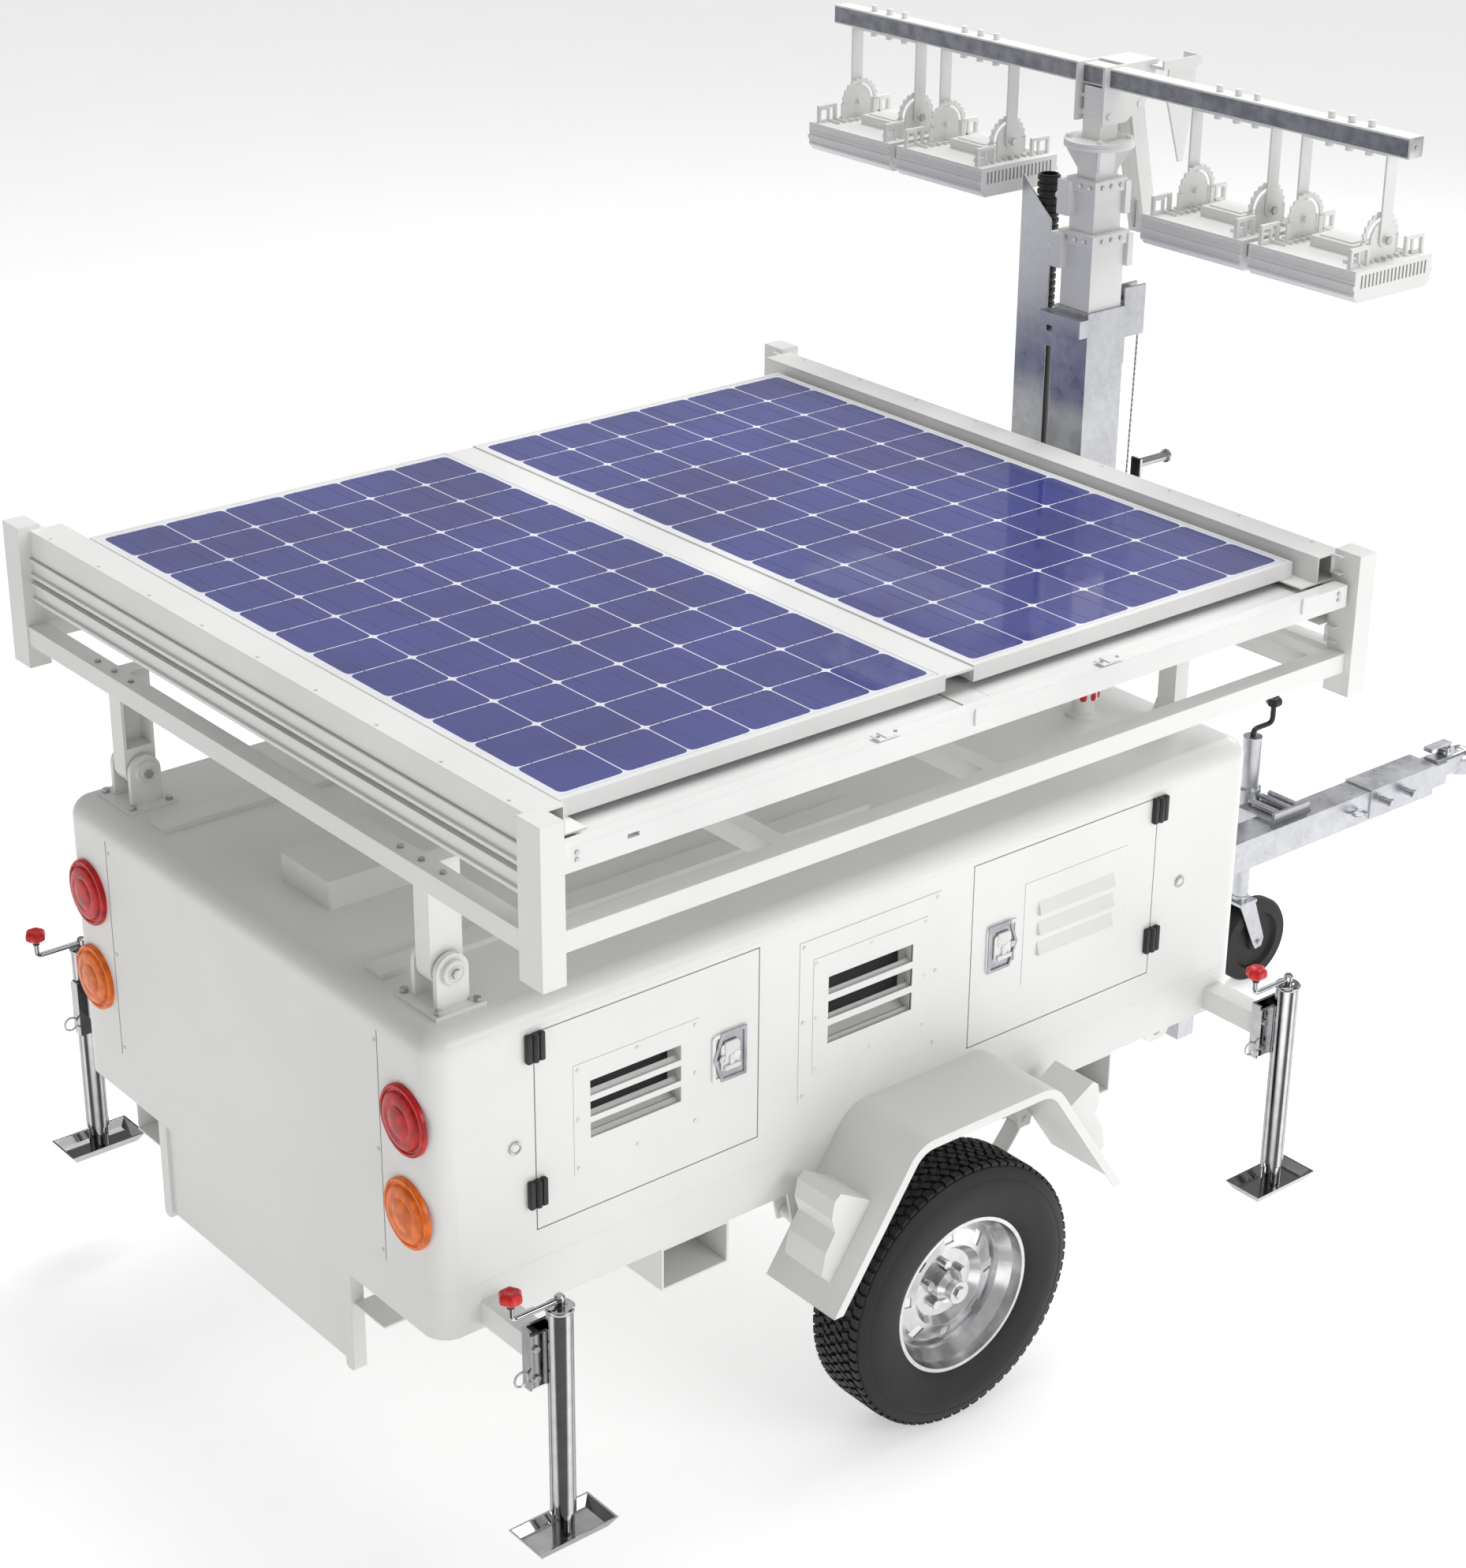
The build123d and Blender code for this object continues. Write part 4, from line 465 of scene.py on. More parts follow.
def makeCellTree():
    # eight-sided cells in rows and columns on each seed point
    tree, source, output = newTree("cellGrid", {"Columns": ("Int", 6), "Rows": ("Int", 12),
                                                "Pitch X": ("Float", 0.17), "Pitch Y": ("Float", 0.158),
                                                "Gap": ("Float", 0.004), "Corner": ("Float", 0.02),
                                                "Material": ("Material", None)})
    width = addNode(tree, "ShaderNodeMath", {0: source.outputs["Pitch X"], 1: source.outputs["Gap"]},
                    operation="SUBTRACT")
    length = addNode(tree, "ShaderNodeMath", {0: source.outputs["Pitch Y"], 1: source.outputs["Gap"]},
                    operation="SUBTRACT")
    face = addNode(tree, "GeometryNodeCurvePrimitiveQuadrilateral",
                   {"Width": width.outputs[0], "Height": length.outputs[0]})
    clipped = addNode(tree, "GeometryNodeFilletCurve", {"Curve": face.outputs[0], "Count": 2,
                                                        "Radius": source.outputs["Corner"]}, mode="POLY")
    filled = addNode(tree, "GeometryNodeFillCurve", {"Curve": clipped.outputs[0]}, mode="NGONS")
    stepX = addNode(tree, "ShaderNodeCombineXYZ", {"X": source.outputs["Pitch X"]})
    stepY = addNode(tree, "ShaderNodeCombineXYZ", {"Y": source.outputs["Pitch Y"]})
    lineX = addNode(tree, "GeometryNodeMeshLine", {"Count": source.outputs["Columns"], "Offset": stepX.outputs[0]})
    lineY = addNode(tree, "GeometryNodeMeshLine", {"Count": source.outputs["Rows"], "Offset": stepY.outputs[0]})
    row = addNode(tree, "GeometryNodeInstanceOnPoints", {"Points": lineX.outputs[0],
                                                         "Instance": filled.outputs[0]})
    grid = addNode(tree, "GeometryNodeInstanceOnPoints", {"Points": lineY.outputs[0],
                                                          "Instance": row.outputs[0]})
    each = addNode(tree, "GeometryNodeInstanceOnPoints", {"Points": source.outputs["Geometry"],
                                                          "Instance": grid.outputs[0]})
    closeTree(tree, each.outputs[0], source.outputs["Material"], output)
    return tree


def makeRingTree():
    # blocks spaced round an axis along Y, in one row at each seed point
    tree, source, output = newTree("ringOfBlocks", {"Count": ("Int", 60), "Radius": ("Float", 0.3),
                                                    "Turn": ("Float", 0.0), "Skew": ("Float", 0.0),
                                                    "Size": ("Vector", None), "Material": ("Material", None)})
    circle = addNode(tree, "GeometryNodeCurvePrimitiveCircle", {"Resolution": source.outputs["Count"],
                                                                "Radius": source.outputs["Radius"]})
    cube = addNode(tree, "GeometryNodeMeshCube", {"Size": source.outputs["Size"]})
    skewed = addNode(tree, "ShaderNodeCombineXYZ", {"X": source.outputs["Skew"]})
    tilted = addNode(tree, "GeometryNodeTransform", {"Geometry": cube.outputs["Mesh"],
                                                     "Rotation": skewed.outputs[0]})
    index = addNode(tree, "GeometryNodeInputIndex")
    part = addNode(tree, "ShaderNodeMath", {0: index.outputs[0], 1: source.outputs["Count"]}, operation="DIVIDE")
    angle = addNode(tree, "ShaderNodeMath", {0: part.outputs[0], 1: 2 * math.pi}, operation="MULTIPLY")
    spin = addNode(tree, "ShaderNodeCombineXYZ", {"Z": angle.outputs[0]})
    ring = addNode(tree, "GeometryNodeInstanceOnPoints", {"Points": circle.outputs[0],
                                                          "Instance": tilted.outputs[0],
                                                          "Rotation": spin.outputs[0]})
    stand = addNode(tree, "ShaderNodeCombineXYZ", {"X": math.pi / 2, "Y": source.outputs["Turn"]})
    upright = addNode(tree, "GeometryNodeTransform", {"Geometry": ring.outputs[0], "Rotation": stand.outputs[0]})
    each = addNode(tree, "GeometryNodeInstanceOnPoints", {"Points": source.outputs["Geometry"],
                                                          "Instance": upright.outputs[0]})
    closeTree(tree, each.outputs[0], source.outputs["Material"], output)
    return tree


fastenerTree = makeFastenerTree()
gridTree = makeGridTree()
cellTree = makeCellTree()
ringTree = makeRingTree()


def fasteners(name, places, aim, radius, height, body, material=None, sides=6):
    material = material or zincBolt
    obj = grow(name, fastenerTree, pointMesh(places, [aim] * len(places)),
               {"Radius": radius / 1000, "Height": height / 1000, "Sides": sides, "Material": material}, material)
    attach(obj, body)
    return obj


def boxGrid(name, places, countA, pitchA, countB, pitchB, size, body, material):
    obj = grow(name, gridTree, pointMesh(places, [(0, 0, 1)] * len(places)),
               {"Count A": countA, "Count B": countB, "Pitch A": [v / 1000 for v in pitchA],
                "Pitch B": [v / 1000 for v in pitchB], "Size": [v / 1000 for v in size],
                "Material": material}, material)
    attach(obj, body)
    return obj


print("trees built")


# CAD nodes keep their shape and get their finish

finishByStart = {
    "door_hinges": blackPlastic, "mast_conduit": blackPlastic, "jockey_crank": blackPlastic,
    "lenses_red": redLens, "lenses_amber": amberLens,
    "tyre_": tyreRubber, "jockey_wheel": tyreRubber, "rim_": brightWheel,
    "jack_": chrome, "winch_crank": chrome,
    "drawbar": galvanised, "coupler_lever": galvanised, "mast_outer": galvanised,
    "jockey_tube": galvanised, "jockey_leg": galvanised, "jockey_fork": galvanised,
    "upper_modules": anodised, "tray_": anodised, "power_pack": greyCase, "mast_rope": steelRope,
    "lamp_": whiteCast, "mast_winch": whiteCast}

for name, node in nodes.items():
    finish = next((value for start, value in finishByStart.items() if name.startswith(start)), whiteCoat)
    if not node.material_slots:
        node.data.materials.append(finish)
    for slotEntry in node.material_slots:
        slotEntry.material = finish
print("CAD nodes finished")


# solar modules

solar = {"rows": 12, "columns": 6, "pitchX": 170.7, "pitchY": 158.5, "gap": 3.4, "corner": 14.0,
         "modulePitch": 1152.0, "firstX": 243.0, "halfY": 951.0, "ribbon": 2.2, "sheetX": 1046.0, "sheetOver": 14.0,
         "belowTop": 0.7, "trayShift": 37.0, "trayRise": 38.2, "trayScale": 0.9}


def layCells(name, topZ, midY, body, scaleY=1.0):
    # cells of two modules side by side, with their ribbons and the white sheet behind
    pitchX, pitchY = solar["pitchX"], solar["pitchY"] * scaleY
    halfY = solar["halfY"] * scaleY
    firstY = midY - halfY + pitchY / 2
    places = [at(solar["firstX"] + i * solar["modulePitch"] + pitchX / 2, firstY, topZ) for i in range(2)]
    cells = grow(name + "Cells", cellTree, pointMesh(places, [(0, 0, 1)] * 2),
                 {"Columns": solar["columns"], "Rows": solar["rows"], "Pitch X": pitchX / 1000,
                  "Pitch Y": pitchY / 1000, "Gap": solar["gap"] / 1000, "Corner": solar["corner"] / 1000,
                  "Material": siliconCell}, siliconCell)
    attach(cells, body)
    middle = (halfY - pitchY / 2) / 1000
    ribbons = [p + Vector((offset / 1000, middle, 0.0002)) for p in places for offset in (-pitchX / 4, pitchX / 4)]
    boxGrid(name + "Ribbons", ribbons, solar["columns"], (pitchX, 0, 0), 1, (0, 0, 0),
            (solar["ribbon"], halfY * 2, 0.3), body, ribbonSilver)
    sheets = [p + Vector(((solar["columns"] - 1) * pitchX / 2000, middle, -0.0004)) for p in places]
    boxGrid(name + "Backsheet", sheets, 1, (0, 0, 0), 1, (0, 0, 0),
            (solar["sheetX"], halfY * 2 + solar["sheetOver"], 0.6), body, backSheet)


layCells("upper", 1000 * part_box("upper_modules")[1][2] - solar["belowTop"], 0.0, "deck")
for side, node, body in ((-1, "tray_right", "tray_r"), (1, "tray_left", "tray_l")):
    low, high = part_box(node)
    midY = 500 * (low[1] + high[1]) - side * solar["trayShift"]
    layCells(node, 1000 * low[2] + solar["trayRise"], midY, body, solar["trayScale"])
print("solar modules laid")


# cabinet details

cabinet = {"face": 800.0, "plugX": (213, 2316), "plugZ": 1155, "screwY": 583, "screwZ": (868, 1130, 1405),
           "seamY": 595, "seamZ": 1140, "seamHeight": 588}
vent = {"rivet": 5.0, "ductDepth": 46.0, "wall": 1.6, "sill": 26.0, "rearX": (386, 718), "rearMid": 552,
        "rearZ": (1037, 1162, 1288), "outerX": (1040, 1459), "outerZ": (983, 1181, 1379),
        "innerX": (1078, 1421), "innerZ": (1045, 1181, 1326), "innerMid": 1249.5}


def duct(name, x0, x1, z0, z1, side, body):
    # sheet-metal box behind a louvre opening with a sloping sill, and a near-black sheet at its back: painted shade
    # for the dark inside of the cabinet
    near = side * (cabinet["face"] - 3.0)
    far = near - side * vent["ductDepth"]
    corners = [(x0, z0), (x1, z0), (x1, z1), (x0, z1)]
    deep = [(x0, z0 + vent["sill"]), (x1, z0 + vent["sill"]), (x1, z1), (x0, z1)]
    verts = [at(x, near, z) for x, z in corners] + [at(x, far, z) for x, z in deep]
    faces = [(i, (i + 1) % 4, 4 + (i + 1) % 4, 4 + i) for i in range(4)]
    box = meshObject(name + "Duct", verts, faces, whiteCoat)
    shell = box.modifiers.new("wall", "SOLIDIFY")
    shell.thickness = vent["wall"] / 1000
    shell.offset = 0.0
    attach(box, body)
    shadeSheet = bmesh.new()
    low, high = sorted((far, far - side * 2))
    addBox(shadeSheet, at(x0 - 6, low, z0 + 14), at(x1 + 6, high, z1 + 6))
    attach(fromBmesh(name + "Screen", shadeSheet, louvreShadeBlack), body)


def louvreDetails():
    for side, word in sides:
        y = side * cabinet["face"]
        duct("rearDoor" + word, 420, 677, 1090, 1250, side, "door_rear_%s_leaf" % word)
        duct("centreVent" + word, 1116, 1383, 1084, 1278, side, "chassis")
        spots = [(x, z) for x in vent["rearX"] for z in vent["rearZ"]]
        spots += [(vent["rearMid"], vent["rearZ"][0]), (vent["rearMid"], vent["rearZ"][2])]
        fasteners("ventRivetsRear" + word, [at(x, y + side * 1.1, z) for x, z in spots], (0, side, 0),
                  vent["rivet"], 2.0, "door_rear_%s_leaf" % word, whiteCast, 12)
        spots = [(x, z) for x in vent["outerX"] for z in vent["outerZ"]]
        spots += [(x, z) for x in vent["innerX"] for z in vent["innerZ"]]
        spots += [(vent["innerMid"], vent["innerZ"][2]), (vent["innerMid"], vent["innerZ"][0])]
        fasteners("ventRivetsCentre" + word, [at(x, y + side * 1.9, z) for x, z in spots], (0, side, 0),
                  vent["rivet"], 2.6, "chassis", whiteCast, 12)


latch = {"height": 128.0, "width": 96.0, "rim": 9.0, "proud": 8.5, "z": 1177, "rearX": 818, "frontX": 1680}


def latchFrame(name, x, z, side, nose, body):
    # die-cast bezel with one pointed side, a pale well and a folding T-handle
    y = side * cabinet["face"]
    half, tall, rim = latch["width"] / 2, latch["height"] / 2, latch["rim"]
    outline = [(half, tall), (half, -tall), (-half * 0.55, -tall), (-half * 1.05, 0), (-half * 0.55, tall)]
    inner = [(half - rim, tall - rim), (half - rim, -tall + rim), (-half * 0.46, -tall + rim),
             (-half * 0.86, 0), (-half * 0.46, tall - rim)]
    verts, faces = [], []
    for ring, depth in ((outline, 4.6), (outline, latch["proud"] - 1.5), (inner, latch["proud"]), (inner, 5.1)):
        verts += [at(x + nose * u, y + side * depth, z + v) for u, v in ring]
    for level in range(3):
        for i in range(5):
            j = (i + 1) % 5
            faces.append((level * 5 + i, level * 5 + j, level * 5 + 5 + j, level * 5 + 5 + i))
    bezel = bmesh.new()
    made = [bezel.verts.new(v) for v in verts]
    for f in faces:
        bezel.faces.new([made[i] for i in f])
    bezel.faces.new([made[15 + i] for i in range(5)])
    bezel.faces.new([made[i] for i in range(5)])
    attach(fromBmesh(name + "Bezel", bezel, latchGrey), body)
    parts = bmesh.new()
    addBox(parts, at(x - 20, y + side * 5.2, z + 2), at(x + 20, y + side * 12, z + 40), 0.003)
    addBox(parts, at(x - 7, y + side * 5.2, z - 26), at(x + 7, y + side * 14, z + 6), 0.002)
    addBox(parts, at(x - 24, y + side * 11, z - 32), at(x + 24, y + side * 16, z - 20), 0.002)
    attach(fromBmesh(name + "Handle", parts, whiteCast), body)
    barrel = [(0, side * 4), (9, side * 4), (9, side * 13), (7, side * 14), (0, side * 14)]
    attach(spun(name + "Barrel", barrel, at(x - nose * half * 0.6, y, z), "y", zincBolt, 24), body)


hinge = {"half": 24.0, "clear": 10.0, "low": -4.0, "high": 66.0, "proud": 15.0, "edges": (268, 2218),
         "heights": (990, 1360), "barrelY": 809.0}


def cabinetDetails():
    face = cabinet["face"]
    for side, word in sides:
        latchFrame("latchRear" + word, latch["rearX"], latch["z"], side, 1, "door_rear_%s_leaf" % word)
        latchFrame("latchFront" + word, latch["frontX"], latch["z"], side, -1, "door_front_%s_leaf" % word)
        for x in cabinet["plugX"]:
            ring = [(16, side * 0.2), (16, side * 4.5), (11, side * 6.0), (8, side * 2.5), (0, side * 2.2)]
            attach(spun("plug%s%d" % (word, x), ring, at(x, side * face, cabinet["plugZ"]), "y", zincBolt, 32),
                    "chassis")
    screws = [at(0, y, z) for y in (-cabinet["screwY"], cabinet["screwY"]) for z in cabinet["screwZ"]]
    fasteners("rearPanelScrews", screws, (-1, 0, 0), 5.0, 2.0, "chassis", whiteCast, 12)
    boxGrid("rearPanelSeams", [at(-0.1, -cabinet["seamY"], cabinet["seamZ"])], 2, (0, 2 * cabinet["seamY"], 0),
            1, (0, 0, 0), (0.9, 1.8, cabinet["seamHeight"]), "chassis", seamGrey)


def hingeDetails():
    for side, word in sides:
        for edge, away, place in zip(hinge["edges"], (-1, 1), ("rear", "front")):
            fixed, moving = bmesh.new(), bmesh.new()
            ys = sorted((side * (cabinet["face"] + 0.2), side * (cabinet["face"] + hinge["proud"])))
            for z in hinge["heights"]:
                for bm, way in ((fixed, away), (moving, -away)):
                    xs = sorted((edge + way * hinge["clear"], edge + way * hinge["half"]))
                    addBox(bm, at(xs[0], ys[0], z + hinge["low"]), at(xs[1], ys[1], z + hinge["high"]), 0.0035)
                barrel = [(0, z - 3), (8.5, z - 3), (9.6, z - 1), (9.6, z + 63), (8.5, z + 65), (0, z + 65)]
                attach(spun("hingeBarrel%s%s%d" % (place, word, z), barrel, at(edge, side * hinge["barrelY"], 0),
                             "z", blackPlastic, 24), "chassis")
            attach(fromBmesh("hingeFixed" + place + word, fixed, blackPlastic), "chassis")
            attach(fromBmesh("hingeLeaf" + place + word, moving, blackPlastic), "door_%s_%s_leaf" % (place, word))


louvreDetails()
cabinetDetails()
hingeDetails()
print("cabinet detailed")


# tail lights

lens = {"y": 697, "steps": 72, "lights": (("lenses_red", redLens, 1258, "red_lens"),
                                          ("lenses_amber", amberLens, 1022, "amber_lens")),
        "profile": [(85, 0), (85, -9), (82, -12.5), (76, -13), (74, -9.5), (70, -10), (66, -17), (60, -19.5),
                    (48, -22), (40, -20.5), (36, -23), (20, -25), (0, -26)]}


def tailLights():
    for node, finish, z, slotName in lens["lights"]:
        parts = [spun("lens", lens["profile"], at(0, y, z), "x", finish, lens["steps"], 22)
                 for y in (-lens["y"], lens["y"])]
        both = joinObjects("tail" + node, parts)
        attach(both, "chassis")
        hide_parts(node)


tailLights()


# jacks and cranks

def lobedKnob(name, place, material, radius=28.0, height=30.0, lobes=6):
    # moulded hand knob with soft lobes and a dished top
    bm = bmesh.new()
    steps = 60
    levels = [(0.30, 0.0), (0.72, 0.02), (0.96, 0.22), (1.0, 0.5), (0.95, 0.78), (0.78, 0.96), (0.5, 1.0),
              (0.34, 0.94), (0.0, 0.90)]
    rings = []
    for share, rise in levels:
        z = place.z + height * rise / 1000
        if share == 0.0:
            rings.append([bm.verts.new((place.x, place.y, z))])
            continue
        ring = []
        for i in range(steps):
            a = 2 * math.pi * i / steps
            lobe = 1 + 0.10 * math.cos(lobes * a) * min(1.0, share * 1.1) ** 3
            r = radius * share * lobe / 1.1 / 1000
            ring.append(bm.verts.new((place.x + r * math.cos(a), place.y + r * math.sin(a), z)))
        rings.append(ring)
    bm.faces.new(rings[0])
    for first, second in zip(rings, rings[1:]):
        for i in range(steps):
            j = (i + 1) % steps
            if len(second) == 1:
                bm.faces.new((first[i], first[j], second[0]))
            else:
                bm.faces.new((first[i], first[j], second[j], second[i]))
    return fromBmesh(name, bm, material, 50)


jack = {"y": 1056.0, "rearX": 142.0, "frontX": 2475.0, "reach": 128.0, "rise": 925.0, "rod": 6.8,
        "ringX": 73.0, "ringY": 46.0, "ringZ": 724.0, "ringRadius": 18.0, "plateY": 30.0,
        "bolts": ((-44, 800), (36, 800), (-44, 724)),
        "collar": [(0, 906), (17, 906), (17, 912), (12, 914), (12, 934), (9, 938), (0, 938)],
        "cap": [(0, 900), (32, 900), (33.5, 903), (33.5, 909), (30, 912), (13, 912), (13, 909)]}


def jackDetails():
    for place, x in (("rear", jack["rearX"]), ("front", jack["frontX"])):
        for side, word in sides:
            name = "jack_%s_%s" % (place, word)
            y = side * jack["y"]
            z = jack["rise"]
            handle = bentRod(name + "Handle", [at(x, y, 700), at(x, y, z), at(x - jack["reach"], y, z),
                                               at(x - jack["reach"], y, z + 50)], jack["rod"] / 1000, chrome, 0.014)
            collar = spun(name + "Collar", jack["collar"], at(x, y, 0), "z", chrome, 32)
            turning = joinObjects(name + "Crank", [handle, collar])
            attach(turning, name + "_handle")
            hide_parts(name + "_crank")
            stem = spun(name + "Stem", [(0, z + 34), (9, z + 34), (9, z + 46), (12, z + 50), (0, z + 50)],
                        at(x - jack["reach"], y, 0), "z", blackPlastic, 24)
            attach(stem, name + "_handle")
            knob = lobedKnob(name + "Knob", at(x - jack["reach"], y, z + 45), redKnob)
            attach(knob, name + "_handle")
            cap = spun(name + "Cap", jack["cap"], at(x, y, 0), "z", chrome, 48)
            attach(cap, name + "_body")
            turns = [2 * math.pi * i / 20 for i in range(20)]
            ring = [at(x - jack["ringX"] - jack["ringRadius"] * math.cos(a), y - side * jack["ringY"],
                       jack["ringZ"] + jack["ringRadius"] * math.sin(a)) for a in turns]
            pull = bentRod(name + "PullRing", ring + ring[:1], 0.0028, zincBolt, 0.002, 8)
            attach(pull, name + "_body")
            bolts = [at(x + dx, y - side * jack["plateY"], boltZ) for dx, boltZ in jack["bolts"]]
            fasteners(name + "Bolts", bolts, (0, side, 0), 9, 6, name + "_body", zincBolt)


jackDetails()


jockey = {"x": 3680, "y": 148, "foot": 600, "elbow": 884, "top": 945, "reach": 86, "rod": 8.5}


def jockeyCrank():
    x, y, z, far = jockey["x"], jockey["y"], jockey["elbow"], jockey["x"] + jockey["reach"]
    bar = bentRod("jockeyBar", [at(x, y, jockey["foot"]), at(x, y, z), at(far, y, z), at(far, y, jockey["top"])],
                  jockey["rod"] / 1000, blackPlastic, 0.02)
    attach(bar, "jockey_handle")
    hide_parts("jockey_crank")
    knob = lobedKnob("jockeyKnob", at(far, y, jockey["top"] - 5), blackPlastic, 26, 30)
    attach(knob, "jockey_handle")


jockeyCrank()
print("jacks detailed")


# tyres

tread = {"rows": (-66.0, -44.0, -21.0, 0.0, 21.0, 44.0, 66.0), "count": 72, "shoulderFrom": 60.0,
         "block": (14.0, 16.0, 22.0), "radius": 352.7, "skew": 0.45,
         "shoulderBlock": (14.0, 22.0, 21.0), "shoulderRadius": 350.0}
tyre = {"y": 908, "z": 360, "steps": 128,
        "profile": [(206, 72), (211, 76), (216, 82), (240, 91), (276, 97.5), (300, 96.5), (318, 92), (320, 90.5),
                    (322, 91.5), (336, 87), (347, 80), (351.5, 70), (352, -70), (347, -80), (336, -87),
                    (322, -91.5), (320, -90.5), (318, -92), (300, -96.5), (276, -97.5), (240, -91), (216, -82),
                    (211, -76), (206, -72)]}


def wheelDetails():
    low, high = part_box("tyre_right")
    axleX = 500 * (low[0] + high[0]) - 1000 * rearX
    for side, word in sides:
        centre = at(axleX, side * tyre["y"], tyre["z"])
        carcass = spun("tyre" + word + "Carcass", tyre["profile"], centre, "y", tyreRubber, tyre["steps"], 30)
        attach(carcass, "wheel_" + word)
        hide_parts("tyre_" + word)
        blocks = []
        for row, y in enumerate(tread["rows"]):
            shoulder = abs(y) > tread["shoulderFrom"]
            size = tread["shoulderBlock" if shoulder else "block"]
            radius = tread["shoulderRadius" if shoulder else "radius"]
            skew = 0.0 if shoulder else tread["skew"] * (1 if row % 2 else -1)
            blocks.append(grow("treadRow", ringTree, pointMesh([centre + Vector((0, y / 1000, 0))], [(0, 1, 0)]),
                               {"Count": tread["count"], "Radius": radius / 1000,
                                "Turn": (row % 2) * math.pi / tread["count"], "Skew": skew,
                                "Size": [v / 1000 for v in size], "Material": tyreRubber}, tyreRubber))
        both = joinObjects("tread" + word, blocks)
        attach(both, "wheel_" + word)


wheelDetails()
print("wheels detailed")


# deck details

deck = {"railX": (111, 2529), "railZ": 2083, "railY": range(-960, 961, 240),
        "tubeX": 94, "tubeZ": 1837, "tubeY": (-735, -655, -575, 575, 655, 735),
        "trayFace": 1104.5, "trayX": (170, 2470), "trayZ": (1988, 2004), "leftDrop": 63.0}


def deckDetails():
    rows = [at(x, y, deck["railZ"]) for x in deck["railX"] for y in deck["railY"]]
    fasteners("topRailScrews", rows, (0, 0, 1), 4.5, 2.2, "deck", whiteCast, 10)
    tubes = [at(deck["tubeX"], y, deck["tubeZ"]) for y in deck["tubeY"]]
    fasteners("pivotTubeBolts", tubes, (0, 0, 1), 8, 6, "deck", zincBolt)
    for side, word in sides:
        drop = deck["leftDrop"] if side > 0 else 0.0
        ends = [at(x, side * deck["trayFace"], z - drop) for x in deck["trayX"] for z in deck["trayZ"]]
        fasteners("trayScrews" + word, ends, (0, side, 0), 5, 3, "tray_r" if side < 0 else "tray_l", zincBolt, 12)


deckDetails()
print("deck detailed")


# lamps and mast

lamp = {"centres": (822, 458, -465, -826), "x": 2697.0, "depth": 280.0, "width": 338.0, "bottom": 2685.0,
        "height": 78.0, "pivot": 2812.0, "arcAt": 117.0, "boltAt": 142.0, "slots": 18, "slotEdge": 24.0,
        "handleX": 40.0, "handleY": 28.0, "handle": ((-29, 21, 9, 42), (29, 21, 9, 42), (0, 44, 67, 9)),
        "ledRows": 10, "ledColumns": 9, "ledPitch": (25, 30)}
arc = {"steps": 44, "thick": 2.5, "inner": 52.0, "low": 62.0, "high": 66.5, "footFrom": 51.0, "footTo": 67.0}


def quadrant(name, x, y, pivotZ, base):
    # half ring with square teeth round its rim, standing on two short feet
    bm = bmesh.new()
    steps, thick = arc["steps"], arc["thick"]
    front, behind = [], []
    for k in range(steps + 1):
        a = math.pi * k / steps
        rim = arc["high"] if k % 4 < 2 else arc["low"]
        for ring, side in ((front, -thick), (behind, thick)):
            ring.append([bm.verts.new(at(x + r * math.cos(a), y + side, pivotZ + r * math.sin(a)))
                         for r in (arc["inner"], rim)])
    for k in range(steps):
        a, b, c, d = front[k], front[k + 1], behind[k], behind[k + 1]
        bm.faces.new((a[0], a[1], b[1], b[0]))
        bm.faces.new((c[0], d[0], d[1], c[1]))
        bm.faces.new((a[1], c[1], d[1], b[1]))
        bm.faces.new((a[0], b[0], d[0], c[0]))
    for k in (0, steps):
        a, c = front[k], behind[k]
        bm.faces.new((a[0], c[0], c[1], a[1]))
    for way in (-1, 1):
        xs = sorted((x + way * arc["footFrom"], x + way * arc["footTo"]))
        addBox(bm, at(xs[0], y - thick, base), at(xs[1], y + thick, pivotZ + 1))
    return fromBmesh(name, bm, whiteCast, 30)


